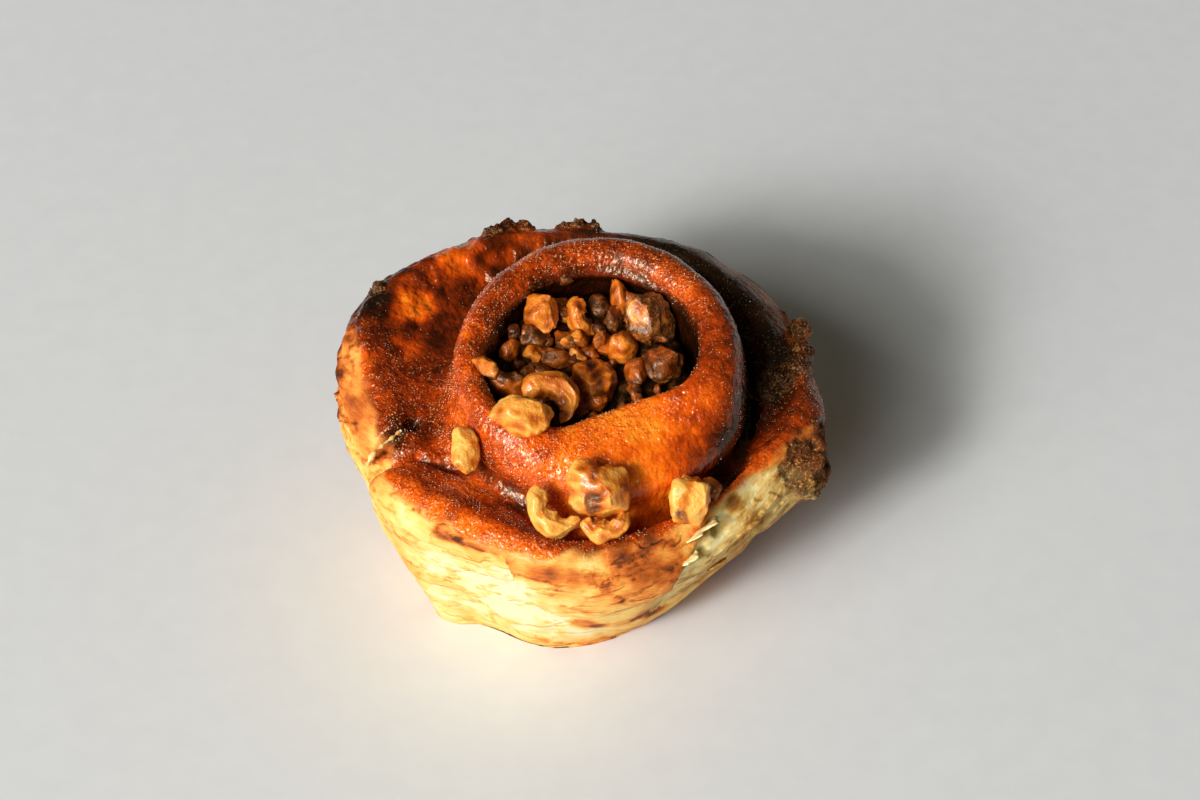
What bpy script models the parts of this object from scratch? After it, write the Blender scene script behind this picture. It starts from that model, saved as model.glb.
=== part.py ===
# A sticky bun: a rolled sheet of laminated dough, baked in a tapered tin, whose inner turn has risen
# into a thick ring round a hollow heaped with chopped walnuts. More walnuts lie on its ring and brim.
# Sizes are in millimetres and made metres at the end. Angles are in degrees seen from above: 0 is the
# right (+X), 90 the back (+Y), 270 the front. Radii are measured from the roll's own axis.
import math
import random

import bmesh
import bpy
from mathutils import Euler, Matrix, Vector, noise

MM = 0.001

# Driving sizes of the roll, each as {angle: size}. A smooth closed curve runs through the stops.
BASE_RADIUS = {0: 31.5, 45: 35, 90: 36, 135: 36, 180: 35.8, 198: 35.2, 208: 36.2, 215: 36.8, 228: 31.4,
               254: 30, 278: 28.4, 301: 26.2, 321: 25, 340: 26.6}
RIM_RADIUS = {0: 42, 20: 49.8, 45: 53.1, 66: 52.8, 86: 52.3, 110: 52.4, 130: 53.6, 148: 54.9, 165: 51.9,
              180: 48.6, 191: 45.8, 204: 43, 220: 35, 250: 30, 290: 30, 330: 34}
RIM_EDGE_RADIUS = {0: 38, 30: 44.6, 66: 46.8, 90: 46.5, 120: 48, 148: 50, 163: 48, 171: 44, 179: 41, 189: 38,
                   200: 36, 220: 31, 250: 27, 290: 27, 330: 30}
RIM_HEIGHT = {0: 40, 45: 46, 86: 48.5, 125: 49.2, 150: 48, 165: 46, 180: 43.5, 191: 42, 204: 39, 230: 36,
              270: 34, 330: 34}
FOOT_RADIUS = {0: 33.2, 45: 35, 90: 34, 135: 31, 160: 29.3, 180: 28.8, 202: 28.6, 217: 26.5, 240: 26,
               263: 29.8, 277: 30.8, 300: 30.5, 320: 31, 340: 33}
FOOT_HEIGHT = {0: 35, 45: 38, 90: 40, 135: 41.5, 180: 41, 205: 39, 240: 36, 270: 34, 300: 33, 330: 33.5}
WALL_RADIUS = {0: 33, 21: 33.2, 45: 33.6, 70: 33.2, 90: 32, 114: 30.3, 131: 28.6, 155: 26.8, 176: 26.4,
               200: 25.8, 226: 25, 250: 24.5, 275: 25, 300: 26.5, 320: 29.5, 340: 32.4}
CREST_RADIUS = {0: 27, 27: 27.6, 44: 27.4, 65: 27.5, 82: 26.8, 105: 25, 129: 23.3, 154: 22.8, 172: 23.4,
                199: 22.4, 226: 20, 255: 16.3, 286: 13.6, 324: 16.8, 342: 23.5}
CREST_HEIGHT = {0: 59.5, 45: 62.3, 90: 63.2, 135: 61.6, 172: 57.6, 199: 54.5, 226: 52.5, 255: 51.5, 286: 52,
                324: 54, 342: 56.5}

# The outer wrap: the sheet's last part, which starts at a free end on the left and laps round the front.
WRAP_START, WRAP_END = 198, 405
WRAP_EDGE_RADIUS = {198: 44.5, 210: 41, 220: 38.6, 231: 37.4, 244: 36.5, 270: 36.3, 300: 35.2, 315: 36,
                    338: 39, 353: 44.5, 5: 46.5, 45: 45}
WRAP_BULGE_RADIUS = {198: 46.4, 207: 44.8, 220: 42, 240: 40, 257: 39.4, 272: 40, 290: 41, 311: 41.2,
                     330: 43.2, 348: 48.4, 10: 49.6, 30: 50.5, 45: 49.5}
WRAP_HEIGHT = {198: 40.5, 235: 40.5, 270: 39.5, 300: 39.5, 330: 40.5, 0: 42, 45: 43.5}
WRAP_SEAM_RADIUS = {198: 36, 205: 31, 217: 26.5, 240: 25.5, 263: 30.5, 277: 31, 300: 30, 312: 30.5, 336: 33.3,
                    6: 34.5, 27: 38, 45: 42}
WRAP_SEAM_HEIGHT = {198: 40, 215: 38, 250: 36.5, 285: 35.5, 330: 36.5, 0: 38, 27: 39, 45: 41.5}

HOLLOW_FLOOR = 40
SUNK = 1.5  # how far the lofts run below the flat face that the bun rests on
STEP_ANGLE = 3

# The dough's crags: each lump is (angle, radius, height, size).
BURNT_EDGE = [
    (112, 50.2, 47, 2.4), (108, 51, 47.4, 2), (104, 50.6, 47.2, 1.6), (95, 50, 47.2, 1.4), (91, 49.8, 48, 1.4),
    (87, 50, 47, 1.6), (145, 52, 46.8, 1.8),
]
BURNT_CLUMP = [
    (349, 46.6, 34, 4), (345.5, 47.4, 31.5, 3.2), (353, 45.8, 36.2, 3.2), (348, 45.6, 29.5, 3.2),
    (342.5, 46.6, 33.5, 2.8), (357, 46, 37.6, 2.6), (351, 46.4, 31, 2.6), (346, 48.6, 33.6, 1.8),
]
DARK_RIDGE = [
    (12, 41, 40.4, 3.2), (15, 46, 41, 3), (9, 37.5, 39.4, 2.6), (20, 48.4, 42, 2.4), (26, 50.2, 42.4, 2.4),
]

LAYER_STEP, LAYER_DEPTH = 3.6, 1
LIP_FROM, LIP_TO, LIP_DEPTH = 212, 312, 2
LIP_HEIGHT = {211: 38.5, 222: 36.8, 238: 37.4, 249: 35.8, 253: 28, 257: 22.6, 266: 20.6, 275: 21.2, 284: 25,
              297: 29, 311: 36}
SEAM_DEPTH = 1.7
FREE_END, GAP_DEPTH = [(186, 34, 41.5), (195, 45, 39)], 2.4
TORN_FROM, TORN_TO, TORN_DEPTH = 286, 352, 1.3
TORN_EDGE = {280: 16, 286: 19, 292: 26, 299: 32.5, 311: 37.6, 323: 39.2, 336: 40, 345: 38, 356: 30, 90: 20,
             200: 20}
BUBBLES = [(315, 38.7, 36, 2.4), (307, 39.6, 33.4, 2)]
LAYER_TILT = 9  # how much higher the layers run at the right than elsewhere

# The walnuts, each as kind, the place of its middle, its size along its own axes, its turn about them, and a
# seed for its unevenness. Those of the heap are fused to a core that fills the hollow under them.
HEAP = [
    ("chunk", (-8.3, 13.3, 55.2), (6.8, 8.4, 4.4), (52, 0, 4), 1),
    ("chunk", (-4.0, 18.6, 52.4), (3.4, 4.4, 3.5), (40, 0, -10), 2),
    ("curl", (0.4, 14.6, 53.2), (9.4, 3.4, 3.8), (27, 38, -51), 3),
    ("chunk", (3.6, 18.2, 52.6), (5.2, 5.0, 3.5), (30, 20, 0), 4),
    ("peg", (6.4, 14.6, 52.4), (3.4, 5.6, 3.6), (40, 0, -20), 5),
    ("peg", (7.6, 18.9, 55.7), (4.0, 5.8, 4.0), (45, 0, 14), 6),
    ("chunk", (10.0, 17.1, 54.2), (4, 5.8, 4), (45, 0, 0), 7),
    ("peg", (7.5, 16.3, 53.0), (2.4, 3.8, 2.6), (50, 0, 10), 8),
    ("lobe", (13.6, 12.5, 55.0), (9.2, 10.0, 6.2), (45, 0, 20), 9),
    ("chunk", (8.4, 7.8, 51.5), (5.6, 6.4, 5), (45, 0, 5), 10),
    ("chunk", (4.4, 10.2, 49.9), (4.8, 5.4, 4), (35, 0, 30), 11),
    ("chunk", (1.2, 8.1, 49.3), (4.2, 3.8, 4), (25, 0, 0), 12),
    ("chunk", (-10.3, 11.0, 51.6), (7.6, 5.6, 5), (35, 10, -30), 13),
    ("peg", (-14.9, 7.8, 50.4), (3.6, 4.8, 3.6), (40, 0, -20), 14),
    ("peg", (-5.1, 6.0, 50.0), (7.0, 4.2, 4.2), (30, 0, -8), 15),
    ("curl", (-14.2, 0.4, 50.6), (10.4, 4.2, 4.4), (40, 10, 12), 16),
    ("lobe", (2.6, 0.4, 49.2), (8.8, 8.4, 6), (35, 0, 20), 17),
    ("chunk", (2.6, -3.6, 47.6), (4.6, 3, 3.4), (20, 0, 0), 18),
    ("chunk", (16.2, 4.0, 51.0), (7.6, 7.4, 6), (50, 0, 12), 19),
    ("chunk", (10.8, 2.9, 49.3), (4.4, 5.4, 4), (40, 0, -10), 20),
    ("chunk", (12.8, 12.5, 50.2), (5, 4.4, 4), (20, 0, 0), 21),
    ("chunk", (-1.5, 11.5, 50.0), (6, 4.4, 4), (20, 0, 0), 22),
    ("chunk", (-8.5, 3.2, 49.0), (5.4, 4, 4), (20, 0, 0), 23),
]
LOOSE = [
    ("peg", (-19.0, -2.4, 56.1), (6.4, 3.2, 3.0), (35, 0, -38), 31),
    ("chunk", (-11.8, -16.3, 55.8), (11.2, 7.4, 5.6), (32, 0, -14), 32),
    ("hook", (-5.4, -6.9, 52.0), (14.8, 4.8, 5.0), (-39, -24, 154), 33),
    ("peg", (-22.9, -17.4, 47.2), (5.2, 9.0, 4.8), (42, 0, -2), 34),
    ("curl", (-5.6, -30.0, 43.5), (13.4, 4.4, 4.6), (37, 27, -31), 35),
    ("curl", (4.9, -31.8, 42.5), (10.6, 3.6, 4.2), (45, -4, 4), 36),
    ("lobe", (3.0, -28.2, 47.9), (12.0, 10.4, 6.6), (48, 0, -14), 37),
    ("lobe", (21.0, -26.6, 43.4), (7.4, 9.2, 5.4), (42, 0, -22), 38),
    ("chunk", (25.5, -22.2, 41.9), (3.6, 4.2, 3.2), (40, 0, 0), 39),
]
HEAP_TOP, HEAP_SLOPE = 48.4, 0.34
SHORTEST_EDGE = 0.02
LARGE_NUT = 7  # from this size on, a nut gets more faces

# Each kind's squareness (1 is round), how far it is bent (in radians to either side), and how often it is cut.
NUT_KINDS = {"chunk": (0.6, 0, 4), "lobe": (0.82, 0, 1), "peg": (0.62, 0, 2), "curl": (0.8, 1.5, 1),
             "hook": (0.8, 1.8, 0)}

DOUGH_VOXEL = 1.05
DOUGH_TRIANGLES = 8200
DOUGH_COLOUR = (0.46, 0.17, 0.045)
NUT_COLOUR = (0.56, 0.3, 0.1)


def around(stops, angle):
    """The value at this angle of a smooth closed curve through {angle: value} stops."""
    keys = sorted(stops)
    count = len(keys)
    turn = (angle - keys[0]) % 360 + keys[0]
    i = max(k for k in range(count) if keys[k] <= turn)
    at = [(keys[(i + k) % count] + 360 * ((i + k) // count), stops[keys[(i + k) % count]]) for k in range(-1, 3)]
    (a0, v0), (a1, v1), (a2, v2), (a3, v3) = at
    t = (turn - a1) / (a2 - a1)
    slope1 = (v2 - v0) / (a2 - a0) * (a2 - a1)
    slope2 = (v3 - v1) / (a3 - a1) * (a2 - a1)
    return ((2 * t**3 - 3 * t**2 + 1) * v1 + (t**3 - 2 * t**2 + t) * slope1
            + (3 * t**2 - 2 * t**3) * v2 + (t**3 - t**2) * slope2)


def smooth_line(points, pieces, closed=False):
    """A Catmull-Rom curve through the points, with this many pieces between each two."""
    count = len(points)
    line = []
    for i in range(count if closed else count - 1):
        near = [points[(i + k) % count] if closed else points[min(max(i + k, 0), count - 1)] for k in range(-1, 3)]
        for piece in range(pieces):
            t = piece / pieces
            line.append(tuple(
                0.5 * (2 * b + (c - a) * t + (2 * a - 5 * b + 4 * c - d) * t**2 + (3 * b - a - 3 * c + d) * t**3)
                for a, b, c, d in zip(*near)
            ))
    if not closed:
        line.append(points[-1])
    return line


def ramp(low, high, value):
    """0 below low, 1 above high, and smooth between."""
    t = min(1, max(0, (value - low) / (high - low)))
    return t * t * (3 - 2 * t)


def bump(angle, middle, half):
    """1 at the middle angle, falling smoothly to 0 half this many degrees away."""
    apart = abs((angle - middle + 180) % 360 - 180)
    return ramp(half, 0, apart)


def place(angle, r, z):
    turn = math.radians(angle)
    return Vector((r * math.cos(turn), r * math.sin(turn), z))


def roll_profile(angle):
    """The roll's outline at this angle, from under its middle to the middle of the hollow's floor."""
    base, rim_z = around(BASE_RADIUS, angle), around(RIM_HEIGHT, angle)
    foot, foot_z, wall = (around(s, angle) for s in (FOOT_RADIUS, FOOT_HEIGHT, WALL_RADIUS))
    crest, crest_z = around(CREST_RADIUS, angle), around(CREST_HEIGHT, angle)
    rim = max(around(RIM_RADIUS, angle), foot + 3)
    edge = max(around(RIM_EDGE_RADIUS, angle), foot + 1.5)
    rim_bulge_z = rim_z - 2.5 - 0.6 * (rim - edge)
    base = min(base, rim - 2)
    rise = crest_z - foot_z
    return [
        (0, -SUNK), (base * 0.5, -SUNK), (base - 3, -SUNK), (base - 0.4, 1.5),
        (base + 0.45 * (rim - base), 0.4 * rim_bulge_z), (base + 0.85 * (rim - base), 0.76 * rim_bulge_z),
        (rim, rim_bulge_z), (0.45 * rim + 0.55 * edge + 0.6, rim_z - 1.2 - 0.2 * (rim - edge)), (edge - 1.5, rim_z),
        (0.5 * (foot + edge), 0.6 * foot_z + 0.4 * rim_z), (foot + 0.8, foot_z),
        (0.7 * wall + 0.3 * foot, foot_z + 0.28 * rise),
        (wall, foot_z + 0.6 * rise), (0.5 * (wall + crest) + 1, crest_z - 2.4), (crest, crest_z),
        (crest - 3.2, crest_z - 2.2), (crest - 4, crest_z - 7),
        (crest - 4.2, HOLLOW_FLOOR + 3.5), (crest - 7, HOLLOW_FLOOR), (0, HOLLOW_FLOOR),
    ]


def wrap_profile(angle, size):
    """The outer wrap's closed outline at this angle. Its size runs from 0 to 1 near the free end."""
    base = around(BASE_RADIUS, angle)
    edge, bulge, top_z = (around(s, angle) for s in (WRAP_EDGE_RADIUS, WRAP_BULGE_RADIUS, WRAP_HEIGHT))
    seam, seam_z = around(WRAP_SEAM_RADIUS, angle), around(WRAP_SEAM_HEIGHT, angle)
    bulge_z = top_z - 3.5 - 0.8 * (bulge - edge)
    points = [
        (base - 12, 6), (base - 3, -SUNK), (base - 0.4, 1.5),
        (base + 0.45 * (bulge - base), 0.4 * bulge_z), (base + 0.85 * (bulge - base), 0.76 * bulge_z),
        (bulge, bulge_z), (0.4 * bulge + 0.6 * edge + 0.8, top_z - 1.8 - 0.25 * (bulge - edge)), (edge - 2, top_z),
        (0.5 * (seam + edge), 0.5 * (seam_z + top_z)), (seam + 1.5, seam_z), (seam, seam_z - 3),
        (seam - 3, seam_z - 12),
    ]
    middle = (base - 2, 0.5 * top_z)
    return [(middle[0] + (r - middle[0]) * size, middle[1] + (z - middle[1]) * (0.4 + 0.6 * size)) for r, z in points]


def closed_mesh(points, faces):
    """A bmesh of these points and faces, with its loose doubles joined and its faces pointing out."""
    shape = bmesh.new()
    made = [shape.verts.new(point) for point in points]
    for face in faces:
        shape.faces.new([made[i] for i in face])
    bmesh.ops.remove_doubles(shape, verts=shape.verts, dist=1e-3)
    bmesh.ops.recalc_face_normals(shape, faces=shape.faces)
    return shape


def grid_faces(rows, columns, rows_closed, columns_closed):
    faces = []
    for i in range(rows if rows_closed else rows - 1):
        for j in range(columns if columns_closed else columns - 1):
            k, m = (i + 1) % rows, (j + 1) % columns
            faces.append((i * columns + j, k * columns + j, k * columns + m, i * columns + m))
    return faces


def roll(step, pieces):
    angles = [step * k for k in range(round(360 / step))]
    lines = [smooth_line(roll_profile(a), pieces) for a in angles]
    points = [place(a, r, z) for a, line in zip(angles, lines) for r, z in line]
    return closed_mesh(points, grid_faces(len(angles), len(lines[0]), True, False))


def wrap(step, pieces):
    count = round((WRAP_END - WRAP_START) / step)
    points = []
    for k in range(count + 1):
        angle = WRAP_START + (WRAP_END - WRAP_START) * k / count
        size = min(1, math.sqrt(1 - (1 - min(1, (angle - WRAP_START + 0.3) / 5)) ** 2))
        size *= min(1, 0.7 + 0.3 * (WRAP_END - angle) / 30)
        line = smooth_line(wrap_profile(angle, size), pieces, closed=True)
        points += [place(angle, r, z) for r, z in line]
    columns = len(points) // (count + 1)
    faces = grid_faces(count + 1, columns, False, True)
    faces += [tuple(range(columns)), tuple(reversed(range(count * columns, (count + 1) * columns)))]
    return closed_mesh(points, faces)


def lump(angle, r, z, size):
    """A craggy crumb of burnt sugar and dough, half sunk in the crust."""
    shape = bmesh.new()
    bmesh.ops.create_icosphere(shape, subdivisions=3, radius=size)
    middle = place(angle, r, z)
    for vert in shape.verts:
        vert.co += vert.normal * (0.45 * size * noise.noise(vert.co * 1.1 / size + middle))
        vert.co += middle
    return shape


def nut(kind, middle, size, turn, seed):
    """One piece of chopped walnut: a chunk, a ridged lobe, a peg, or a piece bent like a U or a C."""
    shape = bmesh.new()
    sides = 13 if max(size) > LARGE_NUT else 9
    bmesh.ops.create_uvsphere(shape, u_segments=sides, v_segments=round(sides * 0.65), radius=1)
    square, bent, count = NUT_KINDS[kind]
    half = Vector(size) / 2
    draw = random.Random(seed)
    cuts = [(Vector([draw.uniform(-1, 1) for k in range(3)]).normalized(), draw.uniform(0.68, 0.88))
            for k in range(count)]
    for vert in shape.verts:
        p = Vector([math.copysign(abs(c) ** square, c) for c in vert.co])
        uneven = 0.24 * noise.noise(vert.co * 0.9 + Vector((seed, 0, 0)))
        p *= 1 + uneven + 0.1 * noise.noise(vert.co * 2.3 + Vector((0, seed, 0)))
        if kind == "lobe":
            p *= 1 - 0.07 * math.cos(5.2 * p.x + 1.5 * noise.noise(p + Vector((seed, seed, 0))))
        for face, reach in cuts:
            p -= face * max(0, p.dot(face) - reach) * 0.9
        p = Vector([c * h for c, h in zip(p, half)])
        if bent:
            reach = bent * p.x / half.x
            bend = half.x / bent
            p = Vector(((bend - p.y) * math.sin(reach), bend - (bend - p.y) * math.cos(reach) - 0.5 * bend, p.z))
        vert.co = p
    spin = Euler([math.radians(c) for c in turn]).to_matrix().to_4x4()
    bmesh.ops.transform(shape, matrix=Matrix.Translation(middle) @ spin, verts=shape.verts)
    return shape


def made(name, shapes, voxel):
    """One object out of closed shapes. With a voxel size they are fused into their union."""
    whole = bmesh.new()
    for shape in shapes:
        piece = bpy.data.meshes.new("piece")
        shape.to_mesh(piece)
        shape.free()
        whole.from_mesh(piece)
        bpy.data.meshes.remove(piece)
    mesh = bpy.data.meshes.new(name)
    whole.to_mesh(mesh)
    whole.free()
    obj = bpy.data.objects.new(name, mesh)
    bpy.context.scene.collection.objects.link(obj)
    if voxel:
        remesh = obj.modifiers.new("fuse", "REMESH")
        remesh.mode = "VOXEL"
        remesh.voxel_size = voxel
        apply_modifiers(obj)
    return obj


def apply_modifiers(obj):
    bpy.context.view_layer.update()
    graph = bpy.context.evaluated_depsgraph_get()
    mesh = bpy.data.meshes.new_from_object(obj.evaluated_get(graph))
    obj.modifiers.clear()
    obj.data = mesh
    mesh.name = obj.name


def to_line(point, start, end):
    """The distance from the point to the straight line between two places."""
    along = end - start
    t = min(1, max(0, (point - start).dot(along) / along.length_squared))
    return (point - start - along * t).length


def relief(point, normal):
    """How far the crust stands out or in at this point, beyond the smooth forms."""
    angle = math.degrees(math.atan2(point.y, point.x)) % 360
    r = math.hypot(point.x, point.y)
    rough = noise.noise(point / 5.5)
    move = 0.6 * noise.noise(point / 15) + 0.3 * rough
    wrapped = angle >= WRAP_START or angle <= WRAP_END - 360
    inner = around(WRAP_SEAM_RADIUS if wrapped else FOOT_RADIUS, angle)
    side = ramp(0.75, 0.4, normal.z) * max(ramp(inner + 2, inner + 4, r), ramp(34, 30, point.z))

    # Flaky layers run round the sides, boldest on the left flank and at the right.
    flaky = 0.15 + 0.85 * max(bump(angle, 165, 32), bump(angle, 335, 30), bump(angle, 60, 60))
    layer = (point.z - LAYER_TILT * bump(angle, 350, 60) + 4 * noise.noise(point / 17)) / LAYER_STEP
    move += side * flaky * LAYER_DEPTH * (layer % 1 - 0.5)

    # The front's upper layer hangs over the one below it.
    if LIP_FROM < angle < LIP_TO:
        lip_z = around(LIP_HEIGHT, angle) + 0.8 * noise.noise(point / 4)
        ends = bump(angle, (LIP_FROM + LIP_TO) / 2, (LIP_TO - LIP_FROM) / 2)
        move += side * LIP_DEPTH * ramp(0, 0.35, ends) * (ramp(-0.6, 0.6, point.z - lip_z) - 0.5)

    # The seam between the turret's foot and the wrap, and the gap at the wrap's free end.
    if wrapped:
        across = r - around(WRAP_SEAM_RADIUS, angle) + 0.4
        level = ramp(6, 3, abs(point.z - around(WRAP_SEAM_HEIGHT, angle)))
        fade = ramp(WRAP_END - 360, 20, angle) if angle < WRAP_START else 1
        move -= SEAM_DEPTH * level * fade * math.exp(-((across / 1.3) ** 2))
    move -= GAP_DEPTH * ramp(2.2, 0.6, to_line(point, place(*FREE_END[0]), place(*FREE_END[1])))

    # At the right front the crust has torn off the layers under it, where two bubbles are open.
    if TORN_FROM < angle < TORN_TO:
        ends = bump(angle, (TORN_FROM + TORN_TO) / 2, (TORN_TO - TORN_FROM) / 2)
        under = ramp(0.5, -0.5, point.z - around(TORN_EDGE, angle) - 0.8 * rough)
        move -= TORN_DEPTH * ramp(0, 0.3, ends) * under * ramp(inner + 2, inner + 4, r) * ramp(8, 14, point.z)
    for bubble_angle, bubble_r, bubble_z, size in BUBBLES:
        move -= 1.5 * size * ramp(size, 0.4 * size, (point - place(bubble_angle, bubble_r, bubble_z)).length)

    # The brim's outer part is rough at the left and the back.
    brim = ramp(37, 41, r) * ramp(0.5, 0.8, normal.z) * bump(angle, 140, 75)
    return move + 1.1 * brim * noise.noise(point / 3.4)


def crust(dough):
    """Moves the dough's surface by its relief, then thins its faces and cuts the flat face it rests on."""
    mesh = dough.data
    moves = [vert.normal * relief(vert.co, vert.normal) for vert in mesh.vertices]
    for vert, move in zip(mesh.vertices, moves):
        vert.co += move
    mesh.update()
    thin = dough.modifiers.new("thin", "DECIMATE")
    thin.ratio = DOUGH_TRIANGLES / (2 * len(mesh.polygons))
    apply_modifiers(dough)
    shape = bmesh.new()
    shape.from_mesh(dough.data)
    everything = shape.verts[:] + shape.edges[:] + shape.faces[:]
    bmesh.ops.bisect_plane(shape, geom=everything, plane_co=(0, 0, 0), plane_no=(0, 0, 1), clear_inner=True)
    bmesh.ops.holes_fill(shape, edges=[edge for edge in shape.edges if edge.is_boundary])
    shape.to_mesh(dough.data)
    shape.free()


def heap_core():
    """The lump that fills the hollow under the nuts, with a clear gap to the ring's inner wall."""
    lines = []
    for k in range(24):
        angle = 15 * k
        wide = around(CREST_RADIUS, angle) - 6.2
        line = [(0, HOLLOW_FLOOR + 0.8), (wide - 3.5, HOLLOW_FLOOR + 0.8), (wide, HOLLOW_FLOOR + 4.5)]
        for part, drop in ((1, 1.2), (0.86, 0), (0.55, 0), (0.28, 0), (0, 0)):
            spot = place(angle, wide * part, 0)
            top = HEAP_TOP + HEAP_SLOPE * (spot.y - 5) + 0.15 * max(0, -spot.x - 5) + noise.noise(spot / 4)
            line.append((wide * part, top - drop))
        lines.append([place(angle, r, z) for r, z in line])
    points = [point for line in lines for point in line]
    return closed_mesh(points, grid_faces(len(lines), len(lines[0]), True, False))


def heap():
    core = made("walnut_heap", [heap_core()], 0)
    pieces = bpy.data.collections.new("pieces")
    for each in HEAP:
        piece = made("piece", [nut(*each)], 0)
        pieces.objects.link(piece)
        bpy.context.scene.collection.objects.unlink(piece)
    union = core.modifiers.new("union", "BOOLEAN")
    union.operation, union.operand_type, union.collection = "UNION", "COLLECTION", pieces
    union.solver = "MANIFOLD"
    apply_modifiers(core)
    for piece in list(pieces.objects):
        bpy.data.objects.remove(piece)
    bpy.data.collections.remove(pieces)
    shape = bmesh.new()
    shape.from_mesh(core.data)
    bmesh.ops.dissolve_degenerate(shape, dist=SHORTEST_EDGE, edges=shape.edges)
    bmesh.ops.triangulate(shape, faces=shape.faces)
    same = {}
    for face in shape.faces:
        same.setdefault(frozenset(face.verts), []).append(face)
    folded = [face for faces in same.values() if len(faces) > 1 for face in faces]
    bmesh.ops.delete(shape, geom=folded, context="FACES")
    bmesh.ops.holes_fill(shape, edges=[edge for edge in shape.edges if edge.is_boundary])
    bmesh.ops.triangulate(shape, faces=shape.faces)
    bmesh.ops.delete(shape, geom=[edge for edge in shape.edges if edge.is_wire], context="EDGES")
    shape.to_mesh(core.data)
    shape.free()
    return core


def material(name, colour, roughness):
    finish = bpy.data.materials.new(name)
    finish.use_nodes = True
    shader = finish.node_tree.nodes["Principled BSDF"]
    shader.inputs["Base Color"].default_value = (*colour, 1)
    shader.inputs["Roughness"].default_value = roughness
    return finish


def centre(objects):
    """Makes millimetres metres, and puts the origin at the middle of the flat face's level."""
    corners = [vert.co for obj in objects for vert in obj.data.vertices]
    low = Vector([min(c[i] for c in corners) for i in range(3)])
    high = Vector([max(c[i] for c in corners) for i in range(3)])
    shift = Matrix.Translation(((low + high) * -0.5).xy.to_3d())
    for obj in objects:
        obj.data.transform(Matrix.Scale(MM, 4) @ shift)
        obj.data.update()


def main():
    for obj in list(bpy.data.objects):
        bpy.data.objects.remove(obj)
    lumps = [lump(*each) for each in BURNT_EDGE + BURNT_CLUMP + DARK_RIDGE]
    dough = made("dough", [roll(STEP_ANGLE, 4), wrap(STEP_ANGLE, 4)] + lumps, DOUGH_VOXEL)
    smooth = dough.modifiers.new("smooth", "SMOOTH")
    smooth.factor, smooth.iterations = 0.5, 4
    apply_modifiers(dough)
    crust(dough)
    heaped = heap()
    loose = [made(f"walnut_{i + 1}", [nut(*each)], 0) for i, each in enumerate(LOOSE)]
    dough.data.materials.append(material("baked dough", DOUGH_COLOUR, 0.5))
    nut_finish = material("glazed walnut", NUT_COLOUR, 0.35)
    for obj in [heaped] + loose:
        obj.data.materials.append(nut_finish)
    centre([dough, heaped] + loose)


main()
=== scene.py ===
# A sticky bun on a pale table: a roll of glazed dough baked in a tapered tin, with chopped walnuts.
import math
import random

import bmesh
import bpy
import numpy as np
from mathutils import Euler, Matrix, Vector, noise


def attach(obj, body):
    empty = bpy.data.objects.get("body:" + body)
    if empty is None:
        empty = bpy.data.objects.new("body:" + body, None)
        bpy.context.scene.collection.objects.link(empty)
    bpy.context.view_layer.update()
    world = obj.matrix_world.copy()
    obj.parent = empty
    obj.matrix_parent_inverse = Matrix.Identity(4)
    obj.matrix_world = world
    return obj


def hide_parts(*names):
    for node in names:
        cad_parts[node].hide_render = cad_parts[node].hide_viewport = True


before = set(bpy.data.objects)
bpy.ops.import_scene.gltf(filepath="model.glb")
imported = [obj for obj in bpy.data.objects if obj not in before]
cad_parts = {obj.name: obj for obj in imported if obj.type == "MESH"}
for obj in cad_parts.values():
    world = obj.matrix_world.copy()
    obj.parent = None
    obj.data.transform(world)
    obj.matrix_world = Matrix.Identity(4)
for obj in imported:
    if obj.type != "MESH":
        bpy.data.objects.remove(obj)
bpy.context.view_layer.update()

# Shapes are made in millimetres round the roll's own axis and then brought into the frame's metres. Angles are
# in degrees seen from above: 0 is the right, 90 the back, 270 the front. Radii are measured from that axis.
toFrame = Matrix.Scale(0.001, 4) @ Matrix.Translation((0.447, -5.758, 0))


def curve(stops):
    # A reader for the smooth closed curve through {angle: value} stops. It takes an angle or an array of them.
    keys = sorted(stops)
    count = len(keys)
    at = np.array([keys[k % count] + 360 * (k // count) for k in range(-1, count + 2)], float)
    value = np.array([stops[keys[k % count]] for k in range(-1, count + 2)], float)
    slope = (value[2:] - value[:-2]) / (at[2:] - at[:-2])

    def read(angle):
        turn = (np.asarray(angle, float) - keys[0]) % 360 + keys[0]
        i = np.clip(np.searchsorted(at[1:-1], turn, side="right") - 1, 0, count - 1)
        span = at[i + 2] - at[i + 1]
        t = (turn - at[i + 1]) / span
        return ((2 * t**3 - 3 * t**2 + 1) * value[i + 1] + (t**3 - 2 * t**2 + t) * slope[i] * span
                + (3 * t**2 - 2 * t**3) * value[i + 2] + (t**3 - t**2) * slope[i + 1] * span)

    return read


def smoothLine(points, pieces, closed=False):
    count = len(points)
    line = []
    for i in range(count if closed else count - 1):
        near = [points[(i + k) % count] if closed else points[min(max(i + k, 0), count - 1)] for k in range(-1, 3)]
        for piece in range(pieces):
            t = piece / pieces
            line.append(tuple(
                0.5 * (2 * b + (c - a) * t + (2 * a - 5 * b + 4 * c - d) * t**2 + (3 * b - a - 3 * c + d) * t**3)
                for a, b, c, d in zip(*near)
            ))
    if not closed:
        line.append(tuple(points[-1]))
    return line


def ramp(low, high, value):
    # 0 below low, 1 above high, and smooth between.
    t = np.clip((value - low) / (high - low), 0, 1)
    return t * t * (3 - 2 * t)


def bump(angle, middle, half):
    # 1 at the middle angle, falling smoothly to 0 half this many degrees away.
    return ramp(half, 0, np.abs((angle - middle + 180) % 360 - 180))


def place(angle, r, z):
    turn = math.radians(angle)
    return Vector((r * math.cos(turn), r * math.sin(turn), z))


def grain(points, size, seed=0.0):
    # Smooth noise at each point, from about -1 to 1, with bumps of this size.
    return np.array([noise.noise(p) for p in (points / size + seed).tolist()])


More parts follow.
